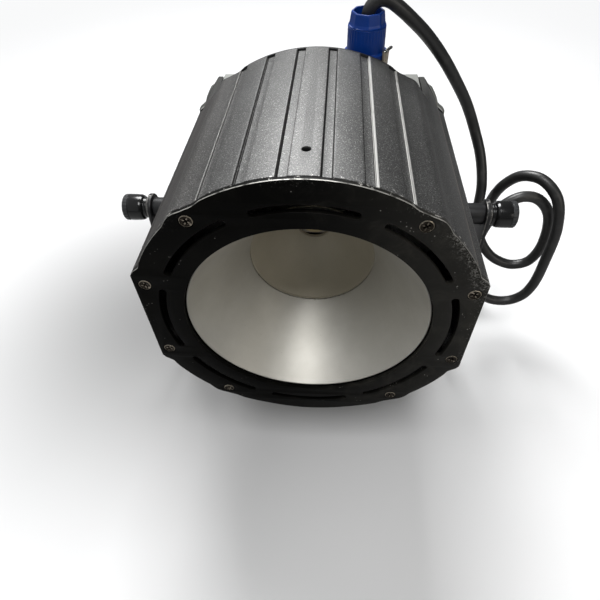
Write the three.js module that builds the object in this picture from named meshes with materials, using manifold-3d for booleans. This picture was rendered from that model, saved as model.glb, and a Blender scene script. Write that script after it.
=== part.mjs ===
// Studio flood head: an extruded round housing with an open spun reflector, a rear LED engine,
// fan-cooled heat sink, stepped rear chassis with connector shelf, single U yoke and mains lead.
// Millimetres: +X right, +Y rearward along the lens axis, +Z up; the light leaves along -Y.
// Parts are drawn about the centre of the tilt axis. add() lifts them, so that the origin is
// the centre of the yoke crossbar's outer face.
import * as THREE from 'three';
import { mergeVertices } from 'three/addons/utils/BufferGeometryUtils.js';
import Module from 'manifold-3d';

const wasm = await Module();
wasm.setup();

// ---------------------------------------------------------------- shared dimensions
const GAP = 0.3;               // clearance between neighbouring parts
const FRONT_Y = -114;          // front face of the front plate
const PLATE_T = 3;
const HOUSING_R = 105.3;       // rounded part of the housing outline
const FLAT_X = 101;            // side flats
const FLAT_HALF_Z = 38.8;
const WALL = 2.9;              // extrusion wall
const BODY_Y0 = FRONT_Y + PLATE_T + GAP;
const BODY_Y1 = 82;            // extrusion rear end
const BODY_TOP_Y1 = 39;        // where the extrusion's top is cut back
const SHELF_Z = 68;            // top of the connector shelf
const REAR_Y0 = 83.6;          // rear plate, inner face
const REAR_Y1 = REAR_Y0 + 2;   // rear plate, outer face
const REAR_FIT_Y = REAR_Y1 + GAP;   // where parts seat on the rear plate
const SCREW_R = 99.4;          // radius of the screw ports
const SCREW_ANGLES = [18.3, 52.9, 127.1, 161.7, 198.3, 232.9, 307.1, 341.7];
const YOKE_DROP = 173;         // tilt axis to the crossbar's outer face
const CONN_X = 33;             // power connectors on the shelf
const CONN_Y = 61;

// colour, roughness, metalness
const FINISH = {
  frontPlate: [0x0c0c0d, 0.55, 0.6],
  screw: [0x6a5c4a, 0.4, 0.9],
  extrusion: [0x2c2c2d, 0.45, 0.75],
  outerReflector: [0xb9bbbb, 0.35, 1],
  collar: [0x6f7070, 0.5, 0.9],
  innerReflector: [0x9c968d, 0.4, 1],
  post: [0xc0b070, 0.35, 1],
  led: [0xe6c23a, 0.5, 0],
  ledHolder: [0xd8d8d2, 0.5, 0],
  bulkhead: [0x8a8c8c, 0.5, 0.9],
  heatSink: [0x303234, 0.5, 0.8],
  fanFrame: [0x101011, 0.6, 0],
  fanRotor: [0x131314, 0.55, 0],
  fanGuard: [0x2a2b2c, 0.45, 0.8],
  powerSupply: [0xa8aaa8, 0.4, 0.9],
  circuitBoard: [0x14562b, 0.5, 0.1],
  tray: [0x9a9c9b, 0.45, 0.9],
  chassis: [0xb8b9b5, 0.5, 0.4],
  display: [0x0a0f14, 0.15, 0],
  button: [0x1a1a1b, 0.5, 0],
  dataSocket: [0x1b1b1c, 0.4, 0.5],
  tabSteel: [0x9a9a98, 0.35, 0.9],
  steel: [0x9a9a98, 0.35, 0.95],
  washerSteel: [0x9a9a98, 0.3, 0.95],
  fuseHolder: [0x141415, 0.5, 0],
  fuseCap: [0x141415, 0.45, 0],
  inlet: [0x0b2664, 0.45, 0],
  outlet: [0x8d9093, 0.45, 0],
  plug: [0x0c2f86, 0.4, 0],
  latch: [0xb9a078, 0.3, 1],
  cable: [0x0e0e0f, 0.6, 0],
  cablePlug: [0x111112, 0.5, 0],
  yoke: [0x1a1a1b, 0.5, 0.7],
  spacer: [0x2b2c2d, 0.4, 0.7],
  knob: [0x0c0c0d, 0.25, 0],
};

// ---------------------------------------------------------------- solids and meshes
// Welds a geometry into a solid, turning its triangles round if it comes out inside out.
function solid(geometry) {
  for (const key of Object.keys(geometry.attributes)) {
    if (key !== 'position') geometry.deleteAttribute(key);
  }
  const welded = mergeVertices(geometry, 1e-4);
  const vertProperties = new Float32Array(welded.attributes.position.array);
  const triVerts = new Uint32Array(welded.index.array);
  const build = () => new wasm.Manifold(new wasm.Mesh({ numProp: 3, vertProperties, triVerts }));
  const built = build();
  if (built.volume() >= 0) return built;
  for (let i = 0; i < triVerts.length; i += 3) {
    [triVerts[i], triVerts[i + 1]] = [triVerts[i + 1], triVerts[i]];
  }
  return build();
}
const union = (...parts) => parts.reduce((sum, part) => sum.add(part));
const cut = (body, ...tools) => tools.reduce((rest, tool) => rest.subtract(tool), body);

const root = new THREE.Group();
root.name = 'studio_flood';

function add(name, [color, roughness, metalness], shape) {
  const { vertProperties, triVerts } = shape.getMesh();
  const geometry = new THREE.BufferGeometry();
  geometry.setAttribute('position',
    new THREE.BufferAttribute(new Float32Array(vertProperties), 3));
  geometry.setIndex(new THREE.BufferAttribute(new Uint32Array(triVerts), 1));
  geometry.computeVertexNormals();
  geometry.translate(0, 0, YOKE_DROP);
  const material = new THREE.MeshStandardMaterial({ color, roughness, metalness });
  const mesh = new THREE.Mesh(geometry, material);
  mesh.name = name;
  root.add(mesh);
}
const addNumbered = (name, finish, shapes) => shapes.forEach(
  (shape, i) => add(`${name}_${i + 1}`, finish, shape));

// ---------------------------------------------------------------- flat outlines
const radians = THREE.MathUtils.degToRad;
const point = (x, y) => new THREE.Vector2(x, y);
const span = (half, centre = 0) => [centre - half, centre + half];

function polar(radius, degrees, x = 0, y = 0) {
  const angle = radians(degrees);
  return point(x + radius * Math.cos(angle), y + radius * Math.sin(angle));
}
function circle(x, y, radius, segments) {
  return Array.from({ length: segments }, (_, i) => {
    const angle = (i / segments) * 2 * Math.PI;
    return point(x + radius * Math.cos(angle), y + radius * Math.sin(angle));
  });
}
function arc(radius, start, end, steps, x = 0, y = 0) {
  return Array.from({ length: steps + 1 },
    (_, i) => polar(radius, start + ((end - start) * i) / steps, x, y));
}
// bar lying along a radius
function radialBar(inner, outer, halfWidth, degrees) {
  const cos = Math.cos(radians(degrees));
  const sin = Math.sin(radians(degrees));
  return [[inner, -halfWidth], [outer, -halfWidth], [outer, halfWidth], [inner, halfWidth]]
    .map(([along, across]) => point(along * cos - across * sin, along * sin + across * cos));
}

// ---------------------------------------------------------------- prisms, boxes and lathes
function extrude(points, [from, to], holes = []) {
  const shape = new THREE.Shape(points);
  shape.holes = holes.map((hole) => new THREE.Path(hole));
  return new THREE.ExtrudeGeometry(shape, { depth: to - from, bevelEnabled: false, steps: 1 });
}
// the outline is drawn in (y,z) for prismX, (x,z) for prismY
const AXES_TO_YZX = new THREE.Matrix4().makeBasis(
  new THREE.Vector3(0, 1, 0), new THREE.Vector3(0, 0, 1), new THREE.Vector3(1, 0, 0));
const prismX = (points, range) =>
  solid(extrude(points, range).applyMatrix4(AXES_TO_YZX).translate(range[0], 0, 0));
const prismY = (points, range, holes) =>
  solid(extrude(points, range, holes).rotateX(Math.PI / 2).translate(0, range[1], 0));

function box([x0, x1], [y0, y1], [z0, z1]) {
  const geometry = new THREE.BoxGeometry(x1 - x0, y1 - y0, z1 - z0);
  return solid(geometry.translate((x0 + x1) / 2, (y0 + y1) / 2, (z0 + z1) / 2));
}

// lathe profiles are [radius, position along the axis]
const lathe = (profile, segments) =>
  new THREE.LatheGeometry(profile.map(([radius, along]) => point(radius, along)), segments);
const latheX = (profile, segments) => solid(lathe(profile, segments).rotateZ(-Math.PI / 2));
const latheY = (profile, segments, x = 0, z = 0) =>
  solid(lathe(profile, segments).translate(x, 0, z));
const latheZ = (profile, segments, x = 0, y = 0) =>
  solid(lathe(profile, segments).rotateX(Math.PI / 2).translate(x, y, 0));
const closed = (profile) => [...profile, profile[0]];

const rod = (radius, [from, to]) => [[0, from], [radius, from], [radius, to], [0, to]];
const rodX = (radius, range, segments) => latheX(rod(radius, range), segments);
const rodY = (radius, range, segments, x, z) => latheY(rod(radius, range), segments, x, z);
const rodZ = (radius, range, segments, x, y) => latheZ(rod(radius, range), segments, x, y);

// ---------------------------------------------------------------- housing outline
const ARC_ANGLES = [28, 33, 39, 44.5, 47.5, 50, 52.5, 55.5, 58, 61.5, 67, 72.6, 78.4, 84.2];
// corner between arc and side flat: x, z, then the share of growth each takes
const CORNER = [
  [94.6, 45.2, 0.7, 0.7],
  [99.4, 41.4, 0.85, 0.6],
  [FLAT_X, FLAT_HALF_Z, 1, 0.45],
];
const bump = (offset) => (Math.abs(offset) >= 1 ? 0 : (1 - offset * offset) ** 2);

// radius with a ridge at 50 degrees, a groove at 58 and a flatter underside
function arcRadius(degrees) {
  const tilt = Math.abs(degrees);
  const flattening = degrees < 0 ? 2.2 * THREE.MathUtils.smoothstep(tilt, 52, 76) : 0;
  return HOUSING_R + 1.7 * bump((tilt - 50) / 5) - 0.8 * bump((tilt - 58) / 3.5) - flattening;
}
// outline in (x,z), counter-clockwise from the bottom, grown outward
function outline(growth) {
  const onArc = (degrees) => polar(arcRadius(degrees) + growth, degrees);
  const onCorner = (side) => CORNER.map(([x, z, shareX, shareZ]) =>
    point(x + shareX * growth, side * (z + shareZ * growth)));
  const rightHalf = [
    point(0, -arcRadius(-90) - growth),
    ...ARC_ANGLES.map((degrees) => onArc(-degrees)).reverse(),
    ...onCorner(-1),
    ...onCorner(1).reverse(),
    ...ARC_ANGLES.map(onArc),
  ];
  const leftHalf = rightHalf.slice(1).reverse().map(({ x, y }) => point(-x, y));
  return [...rightHalf, point(0, HOUSING_R + growth), ...leftHalf];
}

const SCREW_PORTS = SCREW_ANGLES.map((degrees) => polar(SCREW_R, degrees));
const portPrisms = (radius, segments, range, ports = SCREW_PORTS) =>
  ports.map(({ x, y }) => prismY(circle(x, y, radius, segments), range));

// cross-shaped recess in a screw head
const crossRecess = (x, z, rangeY, halfLength, halfWidth) => union(
  box(span(halfLength, x), rangeY, span(halfWidth, z)),
  box(span(halfWidth, x), rangeY, span(halfLength, z)));

// ---------------------------------------------------------------- front plate
const APERTURE_R = 76;         // lens opening
const PORT_HOLE_R = 2.3;
const SLOT_R = 88.7;           // centreline of the arc slots
const SLOT_W = 4.3;
const SLOT_HALF_ANGLE = 18.25;
const COUNTERSINK = [
  [0, FRONT_Y - 0.5], [4.6, FRONT_Y - 0.5], [2.0, FRONT_Y + 2.1], [0, FRONT_Y + 2.1],
];
const FRONT_SCREW = [
  [0, FRONT_Y], [3.75, FRONT_Y], [1.85, FRONT_Y + 1.9], [1.85, FRONT_Y + 14], [0, FRONT_Y + 14],
];

// arc slot with pointed ends
function arcSlot(centre) {
  const endAngle = THREE.MathUtils.radToDeg(SLOT_W / 2 / SLOT_R);
  const [start, end] = span(SLOT_HALF_ANGLE - endAngle, centre);
  return [
    ...arc(SLOT_R + SLOT_W / 2, start, end, 4),
    polar(SLOT_R, end + endAngle),
    ...arc(SLOT_R - SLOT_W / 2, end, start, 4),
    polar(SLOT_R, start - endAngle),
  ];
}
function frontPlate() {
  const holes = [circle(0, 0, APERTURE_R, 48)];
  for (let i = 0; i < 8; i++) holes.push(arcSlot(45 * i));
  for (const { x, y } of SCREW_PORTS) holes.push(circle(x, y, PORT_HOLE_R, 8));
  return cut(prismY(outline(0), [FRONT_Y, FRONT_Y + PLATE_T], holes),
    ...SCREW_PORTS.map(({ x, y }) => latheY(COUNTERSINK, 10, x, y)));
}
add('front_plate', FINISH.frontPlate, frontPlate());
addNumbered('front_screw', FINISH.screw, SCREW_PORTS.map(({ x, y: z }) =>
  cut(latheY(FRONT_SCREW, 10, x, z), crossRecess(x, z, [FRONT_Y - 1, FRONT_Y + 1.1], 2.1, 0.45))));

// ---------------------------------------------------------------- extruded housing
const CHANNEL_ANGLES = [61.0, 72.6, 84.2, 95.8, 107.4, 119.0];
const CHANNEL_W = 6;
const CHANNEL_D = 1.6;
const PORT_BOSS_R = 4.7;

// lengthwise channel in the outside of the housing; side is 1 on top, -1 underneath
function channel(side, degrees, range) {
  const bottom = arcRadius(side * Math.min(degrees, 180 - degrees)) - CHANNEL_D;
  return prismY(radialBar(bottom, HOUSING_R + 5, CHANNEL_W / 2, side * degrees), range);
}
function bodyExtrusion() {
  const through = [BODY_Y0 - 5, BODY_Y1 + 5];
  const outer = prismY(outline(0), [BODY_Y0, BODY_Y1]);
  const bosses = portPrisms(PORT_BOSS_R, 8, [BODY_Y0, BODY_Y1])
    .map((boss) => boss.intersect(outer));
  const channels = [1, -1].flatMap((side) =>
    CHANNEL_ANGLES.map((degrees) => channel(side, degrees, through)));
  const connectorBay = box([-130, 130], [BODY_TOP_Y1, BODY_Y1 + 10], [SHELF_Z - 0.4, 140]);
  const topHole = rodZ(2.15, [95, 112], 10, 0, -88);
  const studHoles = rodX(4.3, span(115), 12);
  return cut(union(cut(outer, prismY(outline(-WALL), through)), ...bosses),
    ...portPrisms(PORT_HOLE_R, 6, through), ...channels, connectorBay, topHole, studHoles);
}
add('body_extrusion', FINISH.extrusion, bodyExtrusion());

// ---------------------------------------------------------------- optics
const LIP_Y = -110.3;          // front edge of the outer reflector
const NECK_R = 43.7;           // rear opening of the outer reflector
const NECK_Y = -54;
const BOWL_END_R = 14;         // rear opening of the inner reflector
const BOWL_END_Y = -15.3;
const POST_CIRCLE_R = 55.5;
const LED_HOLDER_HALF = 20;
const OUTER_REFLECTOR = closed([
  [74.5, LIP_Y], [60.6, -84.4], [NECK_R, NECK_Y],
  [NECK_R + 1, NECK_Y], [61.5, -83.9], [74.4, LIP_Y + 1.6],
  [75.6, LIP_Y + 1.2], [75.6, LIP_Y],
]);
const INNER_REFLECTOR = closed([
  [43.3, -51.5], [38.6, -41.6], [28.2, -27.2], [BOWL_END_R, BOWL_END_Y],
  [BOWL_END_R + 1.2, BOWL_END_Y], [29.0, -26.4], [39.6, -41.0], [43.9, -50.3],
  [50, -50.3], [50, -51.5],
]);
const LED_LENS = [[0, -12.7], [11.2, -12.7], [11.6, -11.8], [0, -11.8]];

function ledHolder() {
  const face = box(span(LED_HOLDER_HALF), [-14.9, -13.1], span(LED_HOLDER_HALF));
  const feet = [[-LED_HOLDER_HALF, -14.5], [14.5, LED_HOLDER_HALF]]
    .map((rangeX) => box(rangeX, [-13.2, -10.8], span(LED_HOLDER_HALF)));
  return cut(union(face, ...feet), rodY(13.2, [-20, -12.5], 16));
}
add('outer_reflector', FINISH.outerReflector, latheY(OUTER_REFLECTOR, 44));
add('reflector_collar', FINISH.collar,
  prismY(circle(0, 0, 60, 28), [-53.6, -51.9], [circle(0, 0, 44.1, 28)]));
add('inner_reflector', FINISH.innerReflector, latheY(INNER_REFLECTOR, 36));
addNumbered('reflector_post', FINISH.post, [90, 210, 330].map((degrees) => {
  const { x, y } = polar(POST_CIRCLE_R, degrees);
  return prismY(circle(x, y, 3, 6), [-51.6, -12.9]);
}));
add('led_module', FINISH.led,
  union(box(span(12), [-12, -10.7], span(12)), latheY(LED_LENS, 16)));
add('led_holder', FINISH.ledHolder, ledHolder());

// ---------------------------------------------------------------- bulkhead and heat sink
const FIN_PITCH = 9;
const FIN_HALF_T = 1;
const FIN_REACH_R = 60.5;      // the fins' outer corners lie on this radius

function bulkhead() {
  const through = [-20, 0];
  return cut(prismY(outline(-WALL - 0.5), [-12.6, -10.6], [circle(0, 0, 50, 24)]),
    ...portPrisms(5.8, 6, through),
    prismY(circle(70, -40, 7, 8), through),
    prismY(circle(-70, 40, 7, 8), through));
}
function heatSink() {
  const fins = [];
  for (let i = -6; i <= 6; i++) {
    const x = i * FIN_PITCH;
    const half = Math.sqrt(FIN_REACH_R ** 2 - (Math.abs(x) + FIN_HALF_T) ** 2);
    fins.push(box(span(FIN_HALF_T, x), [-5, 38], span(half)));
  }
  return union(rodY(62, [-10.3, -4.3], 28), ...fins);
}
add('bulkhead', FINISH.bulkhead, bulkhead());
add('heat_sink', FINISH.heatSink, heatSink());

// ---------------------------------------------------------------- fan
const FAN_HALF = 46;
const FAN_Y = [57, 82];
const MOUNT_Y = [78.5, FAN_Y[1]];  // rear motor mount and its struts
const FAN_SCREW_XZ = 40;
const BLADE_COUNT = 7;
const BLADE_Y = 69.3;
const BLADE_HALF_T = 0.7;
// root to tip: radius, pitch in degrees, half chord
const BLADE_SECTIONS = [[18, 30, 9.5], [30, 34, 10.5], [42.3, 38, 11]];
// finger guard windows: inner radius, outer radius
const GUARD_RINGS = [[11, 19.2], [21.2, 29.4], [31.4, 40.6]];
const GUARD_BAR_HALF = 1.6;

function fanFrame() {
  const struts = [45, 135, 225, 315].map((degrees) =>
    prismY(radialBar(10, FAN_HALF, 1.5, degrees), MOUNT_Y));
  const screwHoles = [-1, 1].flatMap((sideX) => [-1, 1].map((sideZ) =>
    prismY(circle(sideX * FAN_SCREW_XZ, sideZ * FAN_SCREW_XZ, 2.2, 6), [50, 90])));
  const square = box(span(FAN_HALF), FAN_Y, span(FAN_HALF));
  const frame = cut(square, prismY(circle(0, 0, 43.9, 28), [50, 90]));
  const mount = rodY(19, MOUNT_Y, 16);
  const spindle = rodY(1.6, [64, 79], 6);
  return cut(union(frame, ...struts, mount, spindle), ...screwHoles);
}
// a twisted slab: its chord turns from root to tip
function fanBlade(turn) {
  const positions = [];
  for (const [radius, pitch, half] of BLADE_SECTIONS) {
    const cos = Math.cos(radians(pitch));
    const sin = Math.sin(radians(pitch));
    for (const [chord, rise] of [[-half, -1], [half, -1], [half, 1], [-half, 1]]) {
      const lift = rise * BLADE_HALF_T;
      positions.push(radius, BLADE_Y + chord * sin + lift * cos, chord * cos - lift * sin);
    }
  }
  const indices = [];
  const quad = (a, b, c, d) => indices.push(a, b, c, a, c, d);
  const tip = (BLADE_SECTIONS.length - 1) * 4;
  quad(3, 2, 1, 0);
  for (let base = 0; base < tip; base += 4) {
    for (let j = 0; j < 4; j++) {
      const next = (j + 1) % 4;
      quad(base + j, base + next, base + 4 + next, base + 4 + j);
    }
  }
  quad(tip, tip + 1, tip + 2, tip + 3);
  const geometry = new THREE.BufferGeometry();
  geometry.setAttribute('position', new THREE.Float32BufferAttribute(positions, 3));
  geometry.setIndex(indices);
  return solid(geometry.rotateY(turn));
}
function fanRotor() {
  const sweep = rodY(42.6, [58.5, 77.9], 28);
  const blades = Array.from({ length: BLADE_COUNT },
    (_, i) => fanBlade((i * 2 * Math.PI) / BLADE_COUNT).intersect(sweep));
  return cut(union(rodY(19.5, [61, 77.6], 16), ...blades), rodY(2, [63.5, 78], 8));
}
// quarter-ring window whose sides leave a bar of even width
function guardWindow(inner, outer, centre) {
  const halfAngle = (radius) => 45 - THREE.MathUtils.radToDeg(GUARD_BAR_HALF / radius);
  const [outerStart, outerEnd] = span(halfAngle(outer), centre);
  const [innerStart, innerEnd] = span(halfAngle(inner), centre);
  return [...arc(outer, outerStart, outerEnd, 3), ...arc(inner, innerEnd, innerStart, 3)];
}
add('fan_frame', FINISH.fanFrame, fanFrame());
add('fan_rotor', FINISH.fanRotor, fanRotor());
add('fan_guard', FINISH.fanGuard,
  prismY(circle(0, 0, FAN_HALF, 24), [REAR_FIT_Y, REAR_Y1 + 1.8],
    GUARD_RINGS.flatMap(([inner, outer]) =>
      [45, 135, 225, 315].map((centre) => guardWindow(inner, outer, centre)))));

// ---------------------------------------------------------------- electronics
const BOARD_Z = 75.5;          // underside of the parts on the board, just inside its top face
const STANDOFFS = [[-33, -1], [33, -1], [-33, 30], [33, 30]];   // x, y

add('power_supply', FINISH.powerSupply, union(
  box(span(38), [-8, 52], [-91, -66.5]),
  box([-30, 14], [51, 58], [-88, -75]),
  box([-43, -37], [0, 8], [-85, -83]),
  box([37, 43], [0, 8], [-85, -83])));
add('driver_board', FINISH.circuitBoard, union(
  box(span(36), [-4, 33], [74, 75.6]),
  box([-30, -12], [2, 24], [BOARD_Z, 88]),
  box([-6, 4], [4, 20], [BOARD_Z, 84]),
  rodZ(5, [BOARD_Z, 90], 14, 14, 10),
  rodZ(5, [BOARD_Z, 90], 14, 26, 10),
  box([10, 32], [21, 30], [BOARD_Z, 81])));
add('board_tray', FINISH.tray, union(
  box(span(40), [-10.3, 36], [70, 71.5]),
  box(span(40), [-10.3, -8.8], [71, 85]),
  ...STANDOFFS.map(([x, y]) => rodZ(2.5, [71, 73.7], 6, x, y))));

// ---------------------------------------------------------------- rear chassis
const RISER_Y = BODY_TOP_Y1 + GAP;  // closing wall behind the housing's cut-back top
const SHELF_T = 2;
const BUTTON_X = [2, 16, 30, 44];
const BUTTON_Z = 57;
const DATA_X = 32;
const DATA_Z = -66;
const FUSE_Z = -79;
const REAR_PORTS = SCREW_PORTS.filter((_, i) => i !== 1 && i !== 2);  // all but the top two
const REAR_SCREW = [
  [0, 70], [1.85, 70], [1.85, REAR_FIT_Y], [3.6, REAR_FIT_Y],
  [3.6, REAR_Y1 + 1.4], [2.3, REAR_Y1 + 2.5], [0, REAR_Y1 + 2.5],
];

// plate, shelf and riser in one folded sheet
function rearChassis() {
  const through = [80, 90];
  const aboveShelf = box([-130, 130], through, [SHELF_Z, 140]);
  const cornerCuts = [1, -1].map((side) => prismY([
    point(side * 74, SHELF_Z), point(side * 89.4, 58.4),
    point(side * 100, 80), point(side * 74, 80),
  ], through));
  const plate = cut(prismY(outline(1.2), [REAR_Y0, REAR_Y1]), aboveShelf, ...cornerCuts);
  const shelf = box(span(76), [RISER_Y, REAR_Y1], [SHELF_Z - SHELF_T, SHELF_Z]);
  const riser = prismY(outline(-0.15), [RISER_Y, RISER_Y + 1.8])
    .intersect(box([-130, 130], [30, 50], [SHELF_Z - 0.1, 140]));
  const hole = (x, z, radius, segments) => prismY(circle(x, z, radius, segments), through);
  return cut(union(plate, shelf, riser),
    ...portPrisms(2.4, 6, through, REAR_PORTS),
    hole(0, 0, 43, 28),
    box([-45, -13], through, [50.5, 62.5]),
    ...BUTTON_X.map((x) => hole(x, BUTTON_Z, 4.3, 8)),
    hole(DATA_X, DATA_Z, 12.5, 14),
    hole(-DATA_X, DATA_Z, 12.5, 14),
    hole(0, FUSE_Z, 7.1, 10),
    ...[CONN_X, -CONN_X].map((x) =>
      solid(extrude(circle(x, CONN_Y, 12.9, 14), [60, 75]).translate(0, 0, 60))));
}
add('rear_chassis', FINISH.chassis, rearChassis());
addNumbered('rear_screw', FINISH.screw, REAR_PORTS.map(({ x, y: z }) =>
  cut(latheY(REAR_SCREW, 8, x, z), crossRecess(x, z, [REAR_Y1 + 1.2, REAR_Y1 + 5], 1.9, 0.4))));

// ---------------------------------------------------------------- rear panel fittings
const BUTTON = [[0, 79.5], [5.6, 79.5], [5.6, 81.8], [3.8, 81.8], [3.8, 88.6], [0, 88.6]];
const PIN_CIRCLE_R = 5;
const FUSE_HOLDER = [
  [0, 66], [6.6, 66], [6.6, REAR_FIT_Y], [8.6, REAR_FIT_Y], [8.6, REAR_Y1 + 1.9],
  [0, REAR_Y1 + 1.9],
];
const FUSE_CAP = [
  [0, 74], [4.4, 74], [4.4, REAR_Y1 + 2.2], [7.0, REAR_Y1 + 2.2], [6.6, REAR_Y1 + 7],
  [0, REAR_Y1 + 7],
];
const EYE_X = -70;
const EYE_REACH = 11;          // rearward
const EYE_HALF_Z = 8;

add('display_window', FINISH.display, union(
  box([-47, -11], [REAR_FIT_Y, REAR_Y1 + 1.5], [49, 64]),
  box([-44.6, -13.4], [REAR_Y1 - 2.4, REAR_Y1 + 0.5], [50.9, 62.1])));
addNumbered('menu_button', FINISH.button, BUTTON_X.map((x) => latheY(BUTTON, 8, x, BUTTON_Z)));

const dataSocket = (x) => cut(union(
  box(span(13, x), [REAR_FIT_Y, REAR_Y1 + 3.8], span(15.5, DATA_Z)),
  rodY(11.9, [64, 87], 14, x, DATA_Z)), rodY(9.6, [73, 95], 14, x, DATA_Z));
const dataPins = (angles, centreX, radius, range) => angles.map((degrees) => {
  const { x, y } = polar(PIN_CIRCLE_R, degrees, centreX, DATA_Z);
  return rodY(radius, range, 6, x, y);
});
// male socket: three pins standing in the cup
add('data_socket_in', FINISH.dataSocket,
  union(dataSocket(-DATA_X), ...dataPins([90, 210, 330], -DATA_X, 1.2, [72, 86])));
// female socket: an insert with three contacts, and a recess for its release tab
add('data_socket_out', FINISH.dataSocket, cut(
  union(dataSocket(DATA_X), rodY(8.2, [72, 88.4], 14, DATA_X, DATA_Z)),
  ...dataPins([270, 30, 150], DATA_X, 1.5, [76, 95]),
  box(span(4.2, DATA_X), [87, 95], [DATA_Z + 10.9, DATA_Z + 20])));
add('data_release_tab', FINISH.tabSteel,
  box(span(3.7, DATA_X), [88.7, 91.2], [DATA_Z + 11.3, DATA_Z + 15.2]));

add('fuse_holder', FINISH.fuseHolder,
  cut(latheY(FUSE_HOLDER, 12, 0, FUSE_Z), rodY(4.9, [70, 95], 12, 0, FUSE_Z)));
add('fuse_cap', FINISH.fuseCap, cut(latheY(FUSE_CAP, 12, 0, FUSE_Z),
  box(span(4.8), [REAR_Y1 + 5.4, 100], span(0.7, FUSE_Z))));

const sweep = (radius, segments, steps, extrudePath) => solid(new THREE.ExtrudeGeometry(
  new THREE.Shape(circle(0, 0, radius, segments)), { steps, bevelEnabled: false, extrudePath }));

// half ellipse standing out behind the rear plate
class EyeCurve extends THREE.Curve {
  getPoint(fraction, target = new THREE.Vector3()) {
    const angle = Math.PI * (fraction - 0.5);
    const y = REAR_Y1 + 1.4 + EYE_REACH * Math.cos(angle);
    return target.set(EYE_X, y, EYE_HALF_Z * Math.sin(angle));
  }
}
add('safety_eye', FINISH.steel, union(sweep(2, 6, 8, new EyeCurve()),
  box(span(5, EYE_X), [REAR_FIT_Y, REAR_Y1 + 2.3], span(14))));

// ---------------------------------------------------------------- shelf connectors and plug
const CONTACT_CIRCLE_R = 5.2;
const PLUG_SHELL = [
  [0, 73], [12, 73], [12, 92.3], [14.9, 92.3], [14.9, 95.4], [13.3, 96],
  [13.15, 111.6], [5.1, 111.6], [5.1, 80], [0, 80],
];
const PLUG_BUSHING = closed([
  [6.3, 111.9], [12.9, 111.9], [12.3, 113.4], [11.4, 120.5], [9.7, 120.5],
  [9.4, 114.6], [6.3, 114.6],
]);

// flanged round cup, open at the top
function powerCup(x, top) {
  const flange = box(span(13, x), span(15.5, CONN_Y), [SHELF_Z + GAP, SHELF_Z + 2.4]);
  const barrel = latheZ([
    [0, 48], [12.3, 48], [12.3, SHELF_Z + 1], [14.4, SHELF_Z + 1], [14.4, top], [0, top],
  ], 20, x, CONN_Y);
  return cut(union(flange, barrel), rodZ(12.5, [72, 99], 20, x, CONN_Y));
}
function mainsOutlet() {
  const slots = [0, 120, 240].map((degrees) => {
    const { x, y } = polar(CONTACT_CIRCLE_R, degrees, -CONN_X, CONN_Y);
    return box(span(0.9, x), span(1.8, y), [74.5, 99]);
  });
  return cut(union(powerCup(-CONN_X, 83.5), rodZ(8.2, [71, 81.5], 12, -CONN_X, CONN_Y)), ...slots);
}
// drawn on the plug's +X side, then swung round the plug towards the front
function plugLatch() {
  const lever = prismX(
    [point(-2.6, 82.8), point(2.6, 82.8), point(4.4, 98.4), point(-4.4, 98.4)], [15.3, 16.8]);
  return union(lever, box([15.3, 18.9], span(4.4), [97.9, 100]))
    .rotate([0, 0, -30])
    .translate([CONN_X, CONN_Y, 0]);
}
add('mains_inlet', FINISH.inlet, powerCup(CONN_X, 91.5));
add('mains_outlet', FINISH.outlet, mainsOutlet());
add('plug_shell', FINISH.plug, latheZ(PLUG_SHELL, 20, CONN_X, CONN_Y));
add('plug_bushing', FINISH.plug, latheZ(PLUG_BUSHING, 8, CONN_X, CONN_Y));
add('plug_latch', FINISH.latch, plugLatch());

// ---------------------------------------------------------------- mains lead
const CABLE_R = 4.5;
const END_X = 158;             // free end
const END_Y = 78;
// x, y, z: rises from the plug, bends right and falls into two hanging loops
const CABLE_PATH = [
  [CONN_X, CONN_Y, 82], [CONN_X, CONN_Y, 97], [CONN_X, CONN_Y, 111], [33.1, 61, 117.5],
  [34.5, 60.9, 122.2], [38, 60.8, 125.7], [42.7, 60.8, 127], [47.6, 61.2, 125.6],
  [54.1, 62.3, 121.2], [64.9, 65.4, 112.2], [75.9, 69.9, 101.7], [90.6, 77.5, 84.6],
  [105.7, 86.6, 63.9], [122.3, 95.8, 38.5], [134.7, 97.5, 14.6], [143.4, 89.7, -6.2],
  [147.6, 77.5, -28], [147, 66, -50], [153, 57, -72], [164, 52, -87],
  [175, 50, -94.5], [188, 48.3, -97.5], [199.8, 46.8, -92.5], [205.3, 45.5, -79],
  [205.3, 44.5, -57], [199.5, 43.5, -34], [190, 42.2, -20.5], [179.5, 41, -13.5],
  [167.5, 39.6, -13], [154, 37.8, -23.5], [143.5, 35, -60], [149, 32.6, -101],
  [156.5, 31.6, -117], [167, 30.8, -126.5], [179, 30.2, -130.3], [191, 29.8, -128.8],
  [200.5, 29.2, -121], [205.6, 28.8, -106], [206, 28.5, -72], [204, 31, -36],
  [196.5, 37.5, -11], [184, 48, -1], [172, 59, -5], [163.5, 70, -22],
  [160, 78.5, -46], [159, 80.5, -74], [158, 78.5, -100],
  [END_X, END_Y, -114], [END_X, END_Y, -122], [END_X, END_Y, -129.8],
];
const END_PLUG = [
  [0, -160], [14.5, -160], [16.5, -158], [16.5, -147], [11, -136], [7.6, -126],
  [6.0, -126], [6.0, -131], [0, -131],
];
const END_PINS = [[-5.5, 3.5], [5.5, 3.5], [0, -6]];   // x, y from the plug's axis

const cablePoints = CABLE_PATH.map((position) => new THREE.Vector3(...position));
add('mains_cable', FINISH.cable,
  sweep(CABLE_R, 8, 104, new THREE.CatmullRomCurve3(cablePoints, false, 'centripetal')));
add('cable_end_plug', FINISH.cablePlug, union(latheZ(END_PLUG, 12, END_X, END_Y),
  ...END_PINS.map(([x, y]) => rodZ(1.7, [-171.5, -159], 6, END_X + x, END_Y + y))));

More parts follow.
